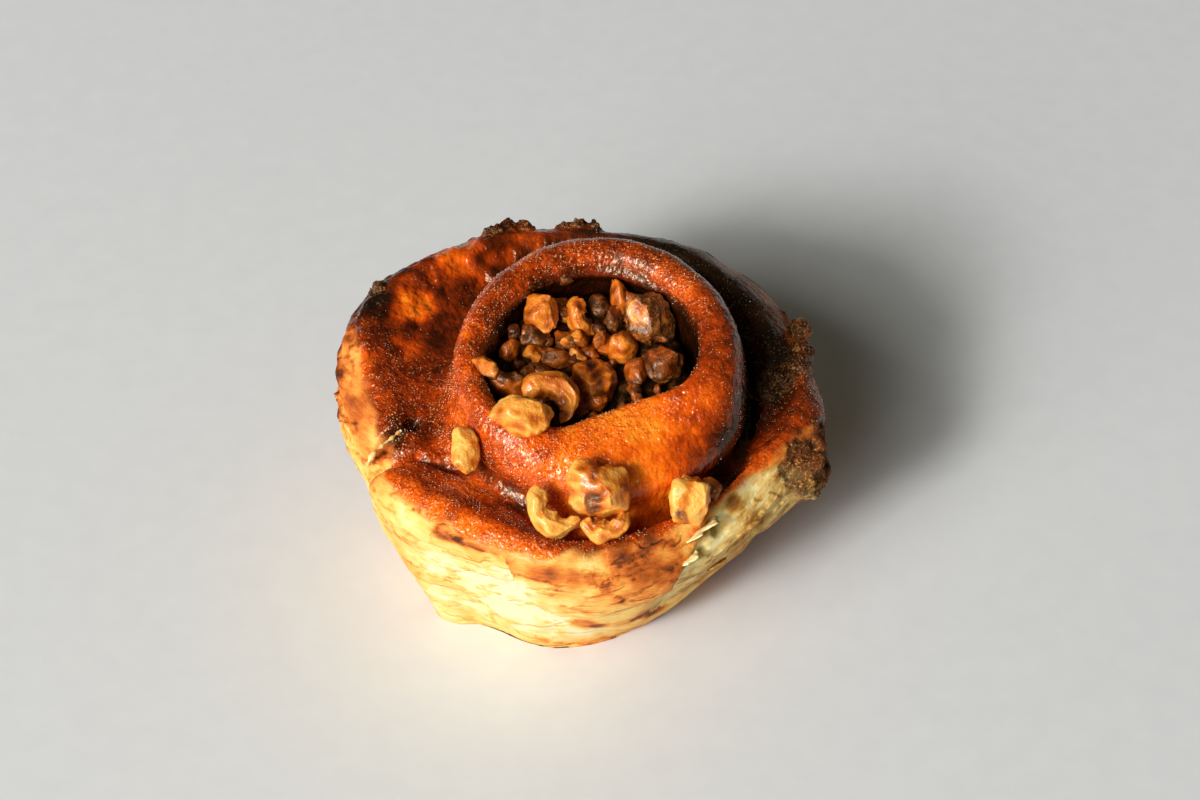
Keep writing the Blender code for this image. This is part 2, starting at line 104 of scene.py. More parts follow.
def toSpot(points, *spot):
    # The distance from each point to one place, given as its angle, radius and height.
    return np.linalg.norm(points - np.array(place(*spot)), axis=1)


def toLine(points, start, end):
    # The distance from each point to the straight line between two places.
    start, along = np.array(start), np.array(end) - np.array(start)
    t = np.clip((points - start) @ along / (along @ along), 0, 1)
    return np.linalg.norm(points - start - t[:, None] * along, axis=1)


def closedMesh(points, faces):
    shape = bmesh.new()
    verts = [shape.verts.new(point) for point in points]
    for face in faces:
        shape.faces.new([verts[i] for i in face])
    bmesh.ops.remove_doubles(shape, verts=shape.verts, dist=1e-3)
    bmesh.ops.recalc_face_normals(shape, faces=shape.faces)
    return shape


def gridFaces(rows, columns, rowsClosed, columnsClosed):
    faces = []
    for i in range(rows if rowsClosed else rows - 1):
        for j in range(columns if columnsClosed else columns - 1):
            k, m = (i + 1) % rows, (j + 1) % columns
            faces.append((i * columns + j, k * columns + j, k * columns + m, i * columns + m))
    return faces


def tube(points, columns):
    # Rings of this many points, one after the other, with a cap on the first and the last.
    faces = gridFaces(len(points) // columns, columns, False, True)
    faces += [tuple(range(columns)), tuple(reversed(range(len(points) - columns, len(points))))]
    return closedMesh(points, faces)


def addObject(name, shapes, material):
    # One object out of separate shapes.
    whole = bmesh.new()
    for shape in shapes:
        piece = bpy.data.meshes.new("piece")
        shape.to_mesh(piece)
        shape.free()
        whole.from_mesh(piece)
        bpy.data.meshes.remove(piece)
    mesh = bpy.data.meshes.new(name)
    whole.to_mesh(mesh)
    whole.free()
    obj = bpy.data.objects.new(name, mesh)
    bpy.context.scene.collection.objects.link(obj)
    mesh.materials.append(material)
    return obj


def applyModifiers(obj):
    bpy.context.view_layer.update()
    mesh = bpy.data.meshes.new_from_object(obj.evaluated_get(bpy.context.evaluated_depsgraph_get()))
    obj.modifiers.clear()
    obj.data = mesh
    mesh.name = obj.name


def readMesh(mesh):
    # Its points and its normals, one row a vertex.
    count = len(mesh.vertices)
    point, normal = np.empty(3 * count), np.empty(3 * count)
    mesh.vertices.foreach_get("co", point)
    mesh.vertices.foreach_get("normal", normal)
    return point.reshape(-1, 3), normal.reshape(-1, 3)


def writePoints(mesh, point):
    mesh.vertices.foreach_set("co", point.ravel())
    mesh.update()


def readLayer(mesh, name, field, width):
    values = np.empty(width * len(mesh.vertices))
    mesh.attributes[name].data.foreach_get(field, values)
    return values.reshape(-1, width)


def writeMask(mesh, name, *channels):
    # Up to four values a vertex, read by the materials.
    values = np.ones((len(mesh.vertices), 4))
    for k, channel in enumerate(channels):
        values[:, k] = np.clip(channel, 0, 1)
    mask = mesh.attributes.new(name, "FLOAT_COLOR", "POINT")
    mask.data.foreach_set("color", values.ravel())


def intoFrame(obj, slot, *nodes):
    obj.data.transform(toFrame)
    obj.data.shade_smooth()
    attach(obj, "root")
    if nodes:
        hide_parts(*nodes)


def colour(code):
    # A colour as the shader wants it, from the hexadecimal digits that a screen shows.
    parts = [int(code[k:k + 2], 16) / 255 for k in (0, 2, 4)]
    return (*[c / 12.92 if c < 0.04045 else ((c + 0.055) / 1.055) ** 2.4 for c in parts], 1)


class Value:
    # A node's output, with arithmetic that adds Math nodes.
    def __init__(self, finish, socket):
        self.finish, self.socket = finish, socket

    def math(self, operation, first, second):
        return self.finish.node("ShaderNodeMath", {"operation": operation}, {0: first, 1: second})

    def __add__(self, other):
        return self.math("ADD", self, other)

    __radd__ = __add__

    def __sub__(self, other):
        return self.math("SUBTRACT", self, other)

    def __rsub__(self, other):
        return self.math("SUBTRACT", other, self)

    def __mul__(self, other):
        return self.math("MULTIPLY", self, other)

    __rmul__ = __mul__

    def clamp(self):
        return self.finish.node("ShaderNodeClamp", {}, {"Value": self})

    def between(self, low, high):
        # 0 at low, 1 at high, and smooth between.
        return self.finish.node("ShaderNodeMapRange", {"interpolation_type": "SMOOTHSTEP"},
                                {"Value": self, "From Min": low, "From Max": high})


class Finish:
    # A material, and the ways of adding nodes to it.
    def __init__(self, name, **constants):
        self.material = bpy.data.materials.new(name)
        self.material.use_nodes = True
        self.tree = self.material.node_tree
        self.shader = self.tree.nodes["Principled BSDF"]
        for socket, value in constants.items():
            self.shader.inputs[socket.replace("_", " ")].default_value = value
        self.where = self.node("ShaderNodeTexCoord", {}, {}, "Object")

    def put(self, value, socket):
        if isinstance(value, Value):
            self.tree.links.new(value.socket, socket)
        else:
            socket.default_value = value

    def node(self, kind, settings, inputs, output=0):
        # Any node. A ramp's stops are given with its settings, as {place from 0 to 1: colour}.
        made = self.tree.nodes.new(kind)
        for name, value in settings.items():
            if name != "stops":
                setattr(made, name, value)
                continue
            elements = made.color_ramp.elements
            while len(elements) < len(value):
                elements.new(0.5)
            for element, (position, code) in zip(elements, sorted(value.items())):
                element.position, element.color = position, colour(code)
        for name, value in inputs.items():
            self.put(value, made.inputs[name])
        return Value(self, made.outputs[output])

    def mask(self, name):
        # The four values that writeMask has written under this name.
        read = self.node("ShaderNodeAttribute", {"attribute_name": name}, {}, "Color")
        parts = self.node("ShaderNodeSeparateColor", {}, {0: read})
        sockets = [*parts.socket.node.outputs, read.socket.node.outputs["Alpha"]]
        return [Value(self, socket) for socket in sockets]

    def stretched(self, factors, turn=(0, 0, 0)):
        # Places for noise, turned and then multiplied, so that a larger factor makes its bumps narrower.
        turned = self.node("ShaderNodeMapping", {}, {"Vector": self.where, "Rotation": turn})
        return self.node("ShaderNodeVectorMath", {"operation": "MULTIPLY"}, {0: turned, 1: factors})

    def noise(self, size, detail=2.0, roughness=0.5, where=None):
        # Noise from 0 to 1 whose largest bumps have this size in millimetres.
        return self.node("ShaderNodeTexNoise", {}, {
            "Vector": where or self.where, "Scale": 1000 / size, "Detail": detail, "Roughness": roughness})

    def cells(self, size):
        # The distance to the nearest of many spots that lie about this many millimetres apart.
        return self.node("ShaderNodeTexVoronoi", {}, {"Vector": self.where, "Scale": 1000 / size})

    def mix(self, factor, first, second):
        return self.node("ShaderNodeMix", {"data_type": "RGBA"}, {0: factor, 6: first, 7: second}, 2)

    def shades(self, factor, stops):
        return self.node("ShaderNodeValToRGB", {"stops": stops}, {0: factor})

    def rough(self, height, depth, under=None):
        # A bump this many millimetres deep, on top of another.
        inputs = {"Height": height, "Distance": depth * 0.001, "Strength": 1.0}
        if under:
            inputs["Normal"] = under
        return self.node("ShaderNodeBump", {}, inputs)

    def set(self, **sockets):
        for name, value in sockets.items():
            self.put(value, self.shader.inputs[name.replace("_", " ")])
        return self.material


# The dough: a tapered roll with a thick ring on top, and the outer wrap that laps round its front.
dough = {
    "baseRadius": {0: 31.5, 45: 35, 90: 36, 135: 36, 180: 35.8, 198: 35.2, 208: 36.2, 215: 36.8, 228: 31.4, 254: 30,
                   278: 28.4, 301: 26.2, 321: 25, 340: 26.6},
    "rimRadius": {0: 42, 20: 49.8, 45: 53.1, 66: 52.8, 86: 52.3, 110: 52.4, 130: 53.6, 148: 54.9, 165: 51.9,
                  180: 48.6, 191: 45.8, 204: 43, 220: 35, 250: 30, 290: 30, 330: 34},
    "rimEdge": {0: 38, 30: 44.6, 66: 46.8, 90: 46.5, 120: 48, 148: 50, 163: 48, 171: 44, 179: 41, 189: 38, 200: 36,
                220: 31, 250: 27, 290: 27, 330: 30},
    "rimHeight": {0: 40, 45: 46, 86: 48.5, 125: 49.2, 150: 48, 165: 46, 180: 43.5, 191: 42, 204: 39, 230: 36,
                  270: 34, 330: 34},
    "footRadius": {0: 33.2, 45: 35, 90: 34, 135: 31, 160: 29.3, 180: 28.8, 202: 28.6, 217: 26.5, 240: 26,
                   263: 29.8, 277: 30.8, 300: 30.5, 320: 31, 340: 33},
    "footHeight": {0: 35, 45: 38, 90: 40, 135: 41.5, 180: 41, 205: 39, 240: 36, 270: 34, 300: 33, 330: 33.5},
    "wallRadius": {0: 33, 21: 33.2, 45: 33.6, 70: 33.2, 90: 32, 114: 30.3, 131: 28.6, 155: 26.8, 176: 26.4,
                   200: 25.8, 226: 25, 250: 24.5, 275: 25, 300: 26.5, 320: 29.5, 340: 32.4},
    "crestRadius": {0: 27, 27: 27.6, 44: 27.4, 65: 27.5, 82: 26.8, 105: 25, 129: 23.3, 154: 22.8, 172: 23.4,
                    199: 22.4, 226: 20, 255: 16.3, 286: 13.6, 324: 16.8, 342: 23.5},
    "crestHeight": {0: 59.5, 45: 62.3, 90: 63.2, 135: 61.6, 172: 57.6, 199: 54.5, 226: 52.5, 255: 51.5, 286: 52,
                    324: 54, 342: 56.5},
    "hollowFloor": 40, "sunk": 1.5,
    "wrapStart": 198, "wrapEnd": 405,
    "wrapEdge": {198: 44.5, 210: 41, 220: 38.6, 231: 37.4, 244: 36.5, 270: 36.3, 300: 35.2, 315: 36, 338: 39,
                 353: 44.5, 5: 46.5, 45: 45},
    "wrapBulge": {198: 46.4, 207: 44.8, 220: 42, 240: 40, 257: 39.4, 272: 40, 290: 41, 311: 41.2, 330: 43.2,
                  348: 48.4, 10: 49.6, 30: 50.5, 45: 49.5},
    "wrapHeight": {198: 40.5, 235: 40.5, 270: 39.5, 300: 39.5, 330: 40.5, 0: 42, 45: 43.5},
    "seamRadius": {198: 36, 205: 31, 217: 26.5, 240: 25.5, 263: 30.5, 277: 31, 300: 30, 312: 30.5, 336: 33.3,
                   6: 34.5, 27: 38, 45: 42},
    "seamHeight": {198: 40, 215: 38, 250: 36.5, 285: 35.5, 330: 36.5, 0: 38, 27: 39, 45: 41.5},
    # Lumps as (angle, radius, height, size): burnt sugar at the back edge and the right, and a dark ridge.
    "lumps": [
        (112, 50.2, 47, 2.4), (108, 51, 47.4, 2), (104, 50.6, 47.2, 1.6), (95, 50, 47.2, 1.4), (91, 49.8, 48, 1.4),
        (87, 50, 47, 1.6), (145, 52, 46.8, 1.8), (349, 46.6, 34, 4), (345.5, 47.4, 31.5, 3.2),
        (353, 45.8, 36.2, 3.2), (348, 45.6, 29.5, 3.2), (342.5, 46.6, 33.5, 2.8), (357, 46, 37.6, 2.6),
        (351, 46.4, 31, 2.6), (346, 48.6, 33.6, 1.8), (12, 41, 40.4, 3.2), (15, 46, 41, 3), (9, 37.5, 39.4, 2.6),
        (20, 48.4, 42, 2.4), (26, 50.2, 42.4, 2.4),
    ],
    "angleStep": 1.5, "linePieces": 8, "voxel": 0.64, "smoothing": 5,
    "layerStep": 3.6, "layerDepth": 1.0, "layerTilt": 9, "fineStep": 1.5, "fineDepth": 0.35,
    "lip": {211: 38.5, 222: 36.8, 238: 37.4, 249: 35.8, 253: 28, 257: 22.6, 266: 20.6, 275: 21.2, 284: 25, 297: 29,
            311: 36},
    "lipSpan": (262, 50), "lipDepth": 2.0,  # the span as (middle, half)
    "seamDepth": 1.7, "freeEnd": ((186, 34, 41.5), (195, 45, 39)), "gapDepth": 2.4,
    # How deep the finer relief is.
    "swell": 0.6, "dents": 0.3, "tornRelief": 0.45, "brimRelief": 1.1, "brimGrain": 0.45, "burntGrain": 0.8,
    "bubbleDepth": 0.9, "ledgeDepth": 0.9, "wrinkleDepth": 0.09,
    # At the right front the crust has torn off the layers under this height, and two bubbles are open.
    "tornEdge": {280: 16, 286: 19, 292: 26, 299: 32.5, 311: 37.6, 323: 39.2, 336: 40, 345: 38, 356: 30, 90: 20,
                 200: 20},
    "tornSpan": (319, 33), "tornDepth": 1.3,
    "bubbles": [(315, 38.7, 36, 2.4), (307, 39.6, 33.4, 2)],
    # How far out the glaze reaches on top, and how far down the side.
    "glazeReach": {165: 46.5, 172: 44.5, 180: 42.5, 190: 41, 197: 40.5, 205: 43.4, 215: 41.8, 235: 39.8, 257: 38.8,
                   276: 37.4, 289: 36, 305: 34.4, 320: 35.6, 331: 37.6, 345: 40.5, 356: 46, 8: 60, 90: 60, 150: 60,
                   158: 51},
    "glazeEdge": {198: 38.6, 210: 38.8, 220: 38.6, 231: 38.2, 245: 38, 257: 38, 270: 38.2, 291: 38.8, 311: 39,
                  324: 39, 338: 39.4, 349: 39.5, 0: 38, 20: 40, 60: 41.5, 100: 42, 130: 42.5, 150: 42.5, 165: 42.3,
                  180: 41, 191: 39.5},
    # How dark the crust has baked, from 0 to 1, round each of its zones.
    "ringTone": {0: 0.62, 45: 0.58, 90: 0.62, 135: 0.6, 180: 0.54, 225: 0.5, 265: 0.4, 300: 0.32, 330: 0.46},
    "wallTone": {0: 1.0, 45: 0.95, 90: 0.88, 135: 0.66, 160: 0.58, 180: 0.55, 205: 0.58, 230: 0.58, 260: 0.38,
                 300: 0.24, 318: 0.56, 335: 0.94},
    "brimTone": {0: 0.74, 15: 0.84, 45: 0.8, 80: 0.8, 110: 0.78, 130: 0.74, 150: 0.72, 170: 0.68, 190: 0.62,
                 205: 0.5, 230: 0.48, 260: 0.68, 290: 0.64, 320: 0.54, 340: 0.52},
    "scorched": [(347, 45.5, 35, 7)],  # places, given as the lumps are, where the crust has burnt
    # Places that are lighter or darker than the glaze round them, as (angle, radius, height, size, change).
    "patches": [(145, 43.5, 46.8, 6, -0.36), (124, 46, 49.5, 7, -0.2), (104, 46, 49, 6, -0.16),
                (150, 49.2, 48, 6, 0.26), (191, 36, 41, 7, 0.2), (205, 31.5, 39.5, 6, 0.2),
                (60, 46, 47.3, 7, -0.1)],
    # Stains on the sides, given in the same way.
    "stains": [(272, 33.9, 14.4, 4.5, 0.5), (277, 33.6, 13.2, 3, 0.3), (256, 30.6, 4.6, 2.6, 0.45),
               (260, 30.6, 3, 2, 0.4), (296, 33, 14.5, 4.4, 0.5), (291, 34, 17, 4, 0.3), (262, 34, 22, 5, -0.1),
               (235, 38, 30, 7, 0.12)],
    "edgeTone": {0: 0.64, 25: 0.4, 60: 0.52, 82: 0.76, 98: 0.66, 112: 0.6, 124: 0.6, 136: 0.72, 150: 0.82,
                 168: 0.58, 185: 0.5, 200: 0.44, 230: 0.28, 260: 0.34, 300: 0.36, 330: 0.38},
    "sideTone": {0: 0.66, 45: 0.5, 90: 0.5, 135: 0.46, 165: 0.34, 185: 0.26, 200: 0.24, 220: 0.08, 250: 0.05,
                 275: 0.16, 295: 0.3, 315: 0.25, 335: 0.4},
}


doughCurves = {name: curve(value) for name, value in dough.items() if isinstance(value, dict)}


def doughAt(angle, *names):
    return [float(doughCurves[name](angle)) for name in names]


def rollProfile(angle):
    # The roll's outline as (radius, height), from the middle of its base up over the ring to the hollow's floor.
    base, rimZ, foot, footZ = doughAt(angle, "baseRadius", "rimHeight", "footRadius", "footHeight")
    wall, crest, crestZ = doughAt(angle, "wallRadius", "crestRadius", "crestHeight")
    rimR, rimEdge = doughAt(angle, "rimRadius", "rimEdge")
    rim, edge = max(rimR, foot + 3), max(rimEdge, foot + 1.5)
    bulgeZ = rimZ - 2.5 - 0.6 * (rim - edge)
    base = min(base, rim - 2)
    rise = crestZ - footZ
    sunk, floor = -dough["sunk"], dough["hollowFloor"]
    return [
        (0, sunk), (base * 0.5, sunk), (base - 3, sunk), (base - 0.4, 1.5),
        (base + 0.45 * (rim - base), 0.4 * bulgeZ), (base + 0.85 * (rim - base), 0.76 * bulgeZ),
        (rim, bulgeZ), (0.45 * rim + 0.55 * edge + 0.6, rimZ - 1.2 - 0.2 * (rim - edge)), (edge - 1.5, rimZ),
        (0.5 * (foot + edge), 0.6 * footZ + 0.4 * rimZ), (foot + 0.8, footZ),
        (0.7 * wall + 0.3 * foot, footZ + 0.28 * rise),
        (wall, footZ + 0.6 * rise), (0.5 * (wall + crest) + 1, crestZ - 2.4), (crest, crestZ),
        (crest - 3.2, crestZ - 2.2), (crest - 4, crestZ - 7), (crest - 4.2, floor + 3.5), (crest - 7, floor),
        (0, floor),
    ]


def wrapProfile(angle, size):
    # The outer wrap's closed outline, drawn in towards its middle where the wrap begins and ends.
    base, edge, bulge, topZ = doughAt(angle, "baseRadius", "wrapEdge", "wrapBulge", "wrapHeight")
    seam, seamZ = doughAt(angle, "seamRadius", "seamHeight")
    bulgeZ = topZ - 3.5 - 0.8 * (bulge - edge)
    points = [
        (base - 12, 6), (base - 3, -dough["sunk"]), (base - 0.4, 1.5),
        (base + 0.45 * (bulge - base), 0.4 * bulgeZ), (base + 0.85 * (bulge - base), 0.76 * bulgeZ),
        (bulge, bulgeZ), (0.4 * bulge + 0.6 * edge + 0.8, topZ - 1.8 - 0.25 * (bulge - edge)), (edge - 2, topZ),
        (0.5 * (seam + edge), 0.5 * (seamZ + topZ)), (seam + 1.5, seamZ), (seam, seamZ - 3), (seam - 3, seamZ - 12),
    ]
    middleR, middleZ = base - 2, 0.5 * topZ
    low = 0.4 + 0.6 * size
    return [(middleR + (r - middleR) * size, middleZ + (z - middleZ) * low) for r, z in points]


def roll(step, pieces):
    angles = [step * k for k in range(round(360 / step))]
    lines = [smoothLine(rollProfile(a), pieces) for a in angles]
    points = [place(a, r, z) for a, line in zip(angles, lines) for r, z in line]
    return closedMesh(points, gridFaces(len(angles), len(lines[0]), True, False))


def wrap(step, pieces):
    start, end = dough["wrapStart"], dough["wrapEnd"]
    count = round((end - start) / step)
    points = []
    for k in range(count + 1):
        angle = start + (end - start) * k / count
        size = min(1, math.sqrt(1 - (1 - min(1, (angle - start + 0.3) / 5)) ** 2))
        size *= min(1, 0.7 + 0.3 * (end - angle) / 30)
        points += [place(angle, r, z) for r, z in smoothLine(wrapProfile(angle, size), pieces, closed=True)]
    return tube(points, len(points) // (count + 1))


def lump(angle, r, z, size):
    shape = bmesh.new()
    bmesh.ops.create_icosphere(shape, subdivisions=4, radius=size)
    middle = place(angle, r, z)
    for vert in shape.verts:
        start = vert.co.copy()
        for depth, fineness in ((0.45, 1.1), (0.16, 3.4)):
            vert.co += vert.normal * (depth * size * noise.noise(start * fineness / size + middle))
        vert.co += middle
    return shape


def shapeCrust(mesh):
    # Moves the dough's surface by its relief, and writes how it has baked for the materials.
    point, normal = readMesh(mesh)
    x, y, z = point.T
    angle = np.degrees(np.arctan2(y, x)) % 360
    r = np.hypot(x, y)
    read = {name: value(angle) for name, value in doughCurves.items()}
    rough, wide, fine, tiny = (grain(point, *each) for each in ((5.5, 0), (15, 0), (2.2, 3.1), (0.95, 7.7)))
    streak = grain(point * (1, 1, 0.28), 1.3, 4.2)
    wrapped = (angle >= dough["wrapStart"]) | (angle <= dough["wrapEnd"] - 360)
    inner = np.where(wrapped, read["seamRadius"], read["footRadius"])
    innerZ = np.where(wrapped, read["seamHeight"], read["footHeight"])
    turret = ramp(1.2, -1.2, r - inner) * ramp(28, 30, z)
    outside = np.maximum(ramp(inner + 2, inner + 4, r), ramp(34, 30, z))
    side = ramp(0.75, 0.4, normal[:, 2]) * outside * ramp(-0.6, -0.2, normal[:, 2])
    move = dough["swell"] * wide + dough["dents"] * rough

    # Flaky layers run round the sides, boldest on the left flank and at the right.
    flaky = 0.15 + 0.85 * np.maximum.reduce([bump(angle, 165, 32), bump(angle, 335, 30), bump(angle, 60, 60)])
    tilt = dough["layerTilt"] * bump(angle, 350, 60)
    layer = (z - tilt + 4 * grain(point, 17)) / dough["layerStep"]
    leftFlank = bump(angle, 172, 32)
    move += side * flaky * dough["layerDepth"] * (layer % 1 - 0.5) * (1 + 0.5 * leftFlank)
    move += 0.5 * side * leftFlank * fine
    fineLayer = (z - tilt + 2.2 * wide + 0.7 * rough) / dough["fineStep"]
    torn = ramp(0, 0.3, bump(angle, *dough["tornSpan"])) * ramp(0.5, -0.5, z - read["tornEdge"] - 0.8 * rough)
    torn *= ramp(inner + 2, inner + 4, r) * ramp(8, 14, z)
    move -= dough["tornDepth"] * torn
    leafy = np.clip(leftFlank + 0.5 * bump(angle, 90, 60) + 0.4 * torn, 0, 1)
    move += dough["tornRelief"] * torn * grain(point * (1, 1, 2), 6, 6.6)
    move += side * leafy * dough["fineDepth"] * (fineLayer % 1 - 0.5) * (1 + rough)

    # The front's upper layer hangs over the one below it.
    lipZ = read["lip"] + 0.8 * grain(point, 4)
    lipEnds = ramp(0, 0.35, bump(angle, *dough["lipSpan"])) * side
    move += dough["lipDepth"] * lipEnds * (ramp(-0.45, 0.45, z - lipZ) - 0.5)

    # The seam between the ring's foot and the wrap, and the gap at the wrap's free end.
    across = r - read["seamRadius"] + 0.4
    level = ramp(6, 3, np.abs(z - read["seamHeight"]))
    fade = np.where(angle < dough["wrapStart"], ramp(dough["wrapEnd"] - 360, 20, angle), 1) * wrapped
    seam = level * fade * np.exp(-((across / 1.3) ** 2))
    move -= dough["seamDepth"] * seam
    gap = ramp(2.2, 0.6, toLine(point, *(place(*end) for end in dough["freeEnd"])))
    move -= dough["gapDepth"] * gap

    # How far into an open bubble each point lies, for the painted shade inside it.
    bubbleShade = np.zeros(len(z))
    for *spot, size in dough["bubbles"]:
        apart = toSpot(point, *spot)
        bubbleShade = np.maximum(bubbleShade, ramp(1.1 * size, 0.5 * size, apart + 0.5 * fine))
        move -= dough["bubbleDepth"] * size * ramp(1.1 * size, 0.3 * size, apart)

    # The brim's outer part is rough at the left and the back, and craggy where sugar has burnt.
    brim = ramp(37, 41, r) * ramp(0.5, 0.8, normal[:, 2]) * bump(angle, 140, 75)
    move += brim * (dough["brimRelief"] * grain(point, 3.4) + dough["brimGrain"] * grain(point, 1.4, 2.2))
    burnt = np.zeros(len(z))
    for *spot, size in dough["lumps"]:
        burnt = np.maximum(burnt, ramp(1.5 * size, 0.9 * size, toSpot(point, *spot) + 0.8 * fine))
    for *spot, size in dough["scorched"]:
        burnt = np.maximum(burnt, 0.9 * ramp(size, 0.8 * size, toSpot(point, *spot) + 1.2 * fine + rough))
    move += burnt * (dough["burntGrain"] * tiny + 0.6 * fine)

    # An inner ledge runs under the ring's back edge.
    drop = read["crestHeight"] - z
    within = ramp(-1, -2.5, r - read["crestRadius"]) * ramp(28, 30, z)
    ledge = np.exp(-(((drop - 5 + 0.6 * rough) / 1.1) ** 2)) * within * bump(angle, 75, 70)
    move += dough["ledgeDepth"] * ledge

    # The glaze covers the ring and the brim, and stops at a ragged edge.
    edgeZ = read["glazeEdge"] + 1.3 * rough + 0.7 * fine
    brimEdge = np.where(wrapped, read["wrapEdge"], read["rimEdge"])
    glaze = np.maximum(ramp(-0.5, 0.6, z - edgeZ), ramp(0, -1.5, r - brimEdge) * ramp(24, 28, z))
    glaze *= ramp(0.7, -0.7, r - read["glazeReach"] + 1.4 * rough + 0.8 * fine) * (1 - torn)
    glaze = np.maximum(glaze, turret)
    # The glaze dries in small wrinkles.
    wrinkle = 1 - 2 * np.abs(grain(point, 1.25, 9.4))
    move += glaze * (dough["wrinkleDepth"] * wrinkle + 0.07 * tiny) + (1 - glaze) * 0.08 * fine

    # How dark the glaze is, from 0 to 1.
    heightPart = np.clip((z - innerZ) / np.maximum(read["crestHeight"] - innerZ, 1), 0, 1)
    ringTone = read["wallTone"] + (read["ringTone"] - read["wallTone"]) * ramp(0.5, 0.9, heightPart)
    outer = np.where(wrapped, read["wrapBulge"], read["rimRadius"])
    outPart = np.clip((r - inner) / np.maximum(outer - inner, 1), 0, 1)
    brimTone = read["brimTone"] + (read["edgeTone"] - read["brimTone"]) * ramp(0.55, 0.9, outPart)
    tone = turret * ringTone + (1 - turret) * brimTone
    tone += 0.16 * rough + 0.1 * fine + 0.12 * wide + 0.1 * seam + 0.3 * gap
    tone += brim * (0.2 * grain(point, 3.4) - 0.05)
    for *spot, size, change in dough["patches"]:
        tone += change * (1 - turret) * ramp(size, 0.2 * size, toSpot(point, *spot) + 1.8 * rough + fine)
    tone += turret * bump(angle, 355, 50) * 0.3 * streak * ramp(0.9, 0.6, heightPart)
    # Down inside the hollow the glaze turns nearly black. This is partly burnt glaze and partly painted shade in
    # the recess.
    deep = within * ramp(2.2, 5.5, drop + 0.8 * rough)
    tone += deep * (1.1 - tone) - 0.35 * ledge

    # How brown the bare dough is, from 0 to 1.
    below = ramp(7, 0, edgeZ - z)
    doughTone = read["sideTone"] + 0.3 * below * ramp(-0.2, 0.5, rough + 0.3) + 0.12 * fine + 0.12 * wide
    # Above its lower edge the front's upper layer has browned, most where it meets the glaze, with thin cracks.
    upper = lipEnds * ramp(-0.4, 0.6, z - lipZ)
    doughTone += upper * (0.16 + 0.34 * ramp(-6, 0, z - edgeZ) + 0.22 * grain(point, 3.6, 6.1))
    doughTone += 0.4 * upper * ramp(0.12, 0.02, np.abs(grain(point * (1, 1, 2), 6.5, 8.3))) * ramp(-0.2, 0.3, rough)
    lipLine = lipEnds * np.exp(-(((z - lipZ + 0.5) / 0.8) ** 2))
    doughTone += 0.55 * lipLine * ramp(-0.3, 0.4, fine + 0.2)
    doughTone += side * leafy * 0.36 * (ramp(0.5, 0.95, fineLayer % 1) - 0.3) * (1 + fine)
    doughTone += side * flaky * 0.28 * (ramp(0.75, 1, layer % 1) - 0.2)
    doughTone += 0.16 * bump(angle, 172, 30) * ramp(16, 2, edgeZ - z)
    doughTone += 0.22 * ramp(9, 0, z + 2 * rough)
    doughTone += 0.2 * bump(angle, 209, 9) * ramp(33, 28, z)
    for *spot, size, change in dough["stains"]:
        doughTone += change * ramp(size, 0.3 * size, toSpot(point, *spot) + 1.6 * rough + 0.8 * fine)
    doughTone += 0.4 * ramp(0.42, 0.6, grain(point, 7, 5.5) + 0.15 * fine) * ramp(22, 12, z) * bump(angle, 285, 40)
    doughTone += 0.25 * bump(angle, 292, 22) * ramp(24, 36, z) * (1 - torn) * (1 + 0.5 * rough)
    tornTone = 0.2 + 0.14 * fine + 0.3 * wide + 0.2 * rough + 0.12 * ramp(0.6, 1, fineLayer % 1)
    tornTone += 0.5 * ramp(2.5, 0.2, read["tornEdge"] - z) * ramp(-0.3, 0.4, rough + 0.2 * fine)
    tornTone += 0.35 * ramp(14, 5, z)
    doughTone = np.where(torn > 0.5, tornTone, doughTone)
    # An olive, darker cast over the back right, outside the ring: painted shade.
    oliveShade = bump(angle, 52, 62) * ramp(30, 34, z) * (1 - 0.85 * turret)
    # Where the glaze sparkles with sugar. The mask also places the painted glints, and fades in the hollow and the
    # seam.
    dull = np.minimum(1, 2 * bump(angle, 115, 68)) * (1 - turret)
    sparkle = 0.75 * glaze * (1 - deep) * (1 - 0.9 * seam) * (1 - 0.7 * bump(angle, 350, 60)) * (1 - 0.95 * dull)
    sparkle *= 1 - 0.9 * turret * np.minimum(1, 2 * bump(angle, 305, 48)) * ramp(1, 0.8, heightPart)
    point = point + normal * move[:, None]
    point[:, 2] = np.maximum(point[:, 2], 0)
    writePoints(mesh, point)
    writeMask(mesh, "bake", glaze, tone, doughTone, burnt)
    writeMask(mesh, "open", torn * (1 - glaze), bubbleShade, sparkle, oliveShade)


# The crust's colours as {place from 0 to 1: colour}, from the least baked to the most. Burnt sugar's run from its
# black ground to its golden crumbs.
baking = {
    "glaze": {0: "ffae44", 0.18: "fb8e20", 0.36: "ea640c", 0.52: "bb4207", 0.67: "7e2804", 0.82: "431302",
              1: "1a0801"},
    # These olive colours are the painted shade on the back right.
    "oliveShade": {0: "e8b060", 0.3: "b47a30", 0.5: "7c5220", 0.7: "4a3012", 0.85: "241708", 1: "0c0703"},
    "dough": {0: "f5e6b4", 0.13: "f3d07c", 0.34: "efb254", 0.5: "e48c36", 0.66: "c6621c", 0.82: "8a3c0e",
              1: "481c07"},
    "torn": {0: "fdeaa8", 0.2: "eec472", 0.4: "c48c3c", 0.62: "8e561e", 0.95: "4a280c"},
    "burnt": {0.4: "120702", 0.5: "38190a", 0.57: "723e16", 0.65: "c08a40"},
    # The bubble colour is painted shade inside the open bubbles.
    # The sugar colour is for dots on the glaze that are partly painted glints.
    "bubble": "a89c48", "sugar": "ffb870",
}
crust = Finish("baked dough", Subsurface_Weight=0.08, Subsurface_Radius=(1.0, 0.5, 0.25), Subsurface_Scale=0.0012,
               Coat_Roughness=0.08, Specular_IOR_Level=0.55, Specular_Tint=(1, 0.76, 0.5, 1))
glaze, tone, doughTone, burnt = crust.mask("bake")
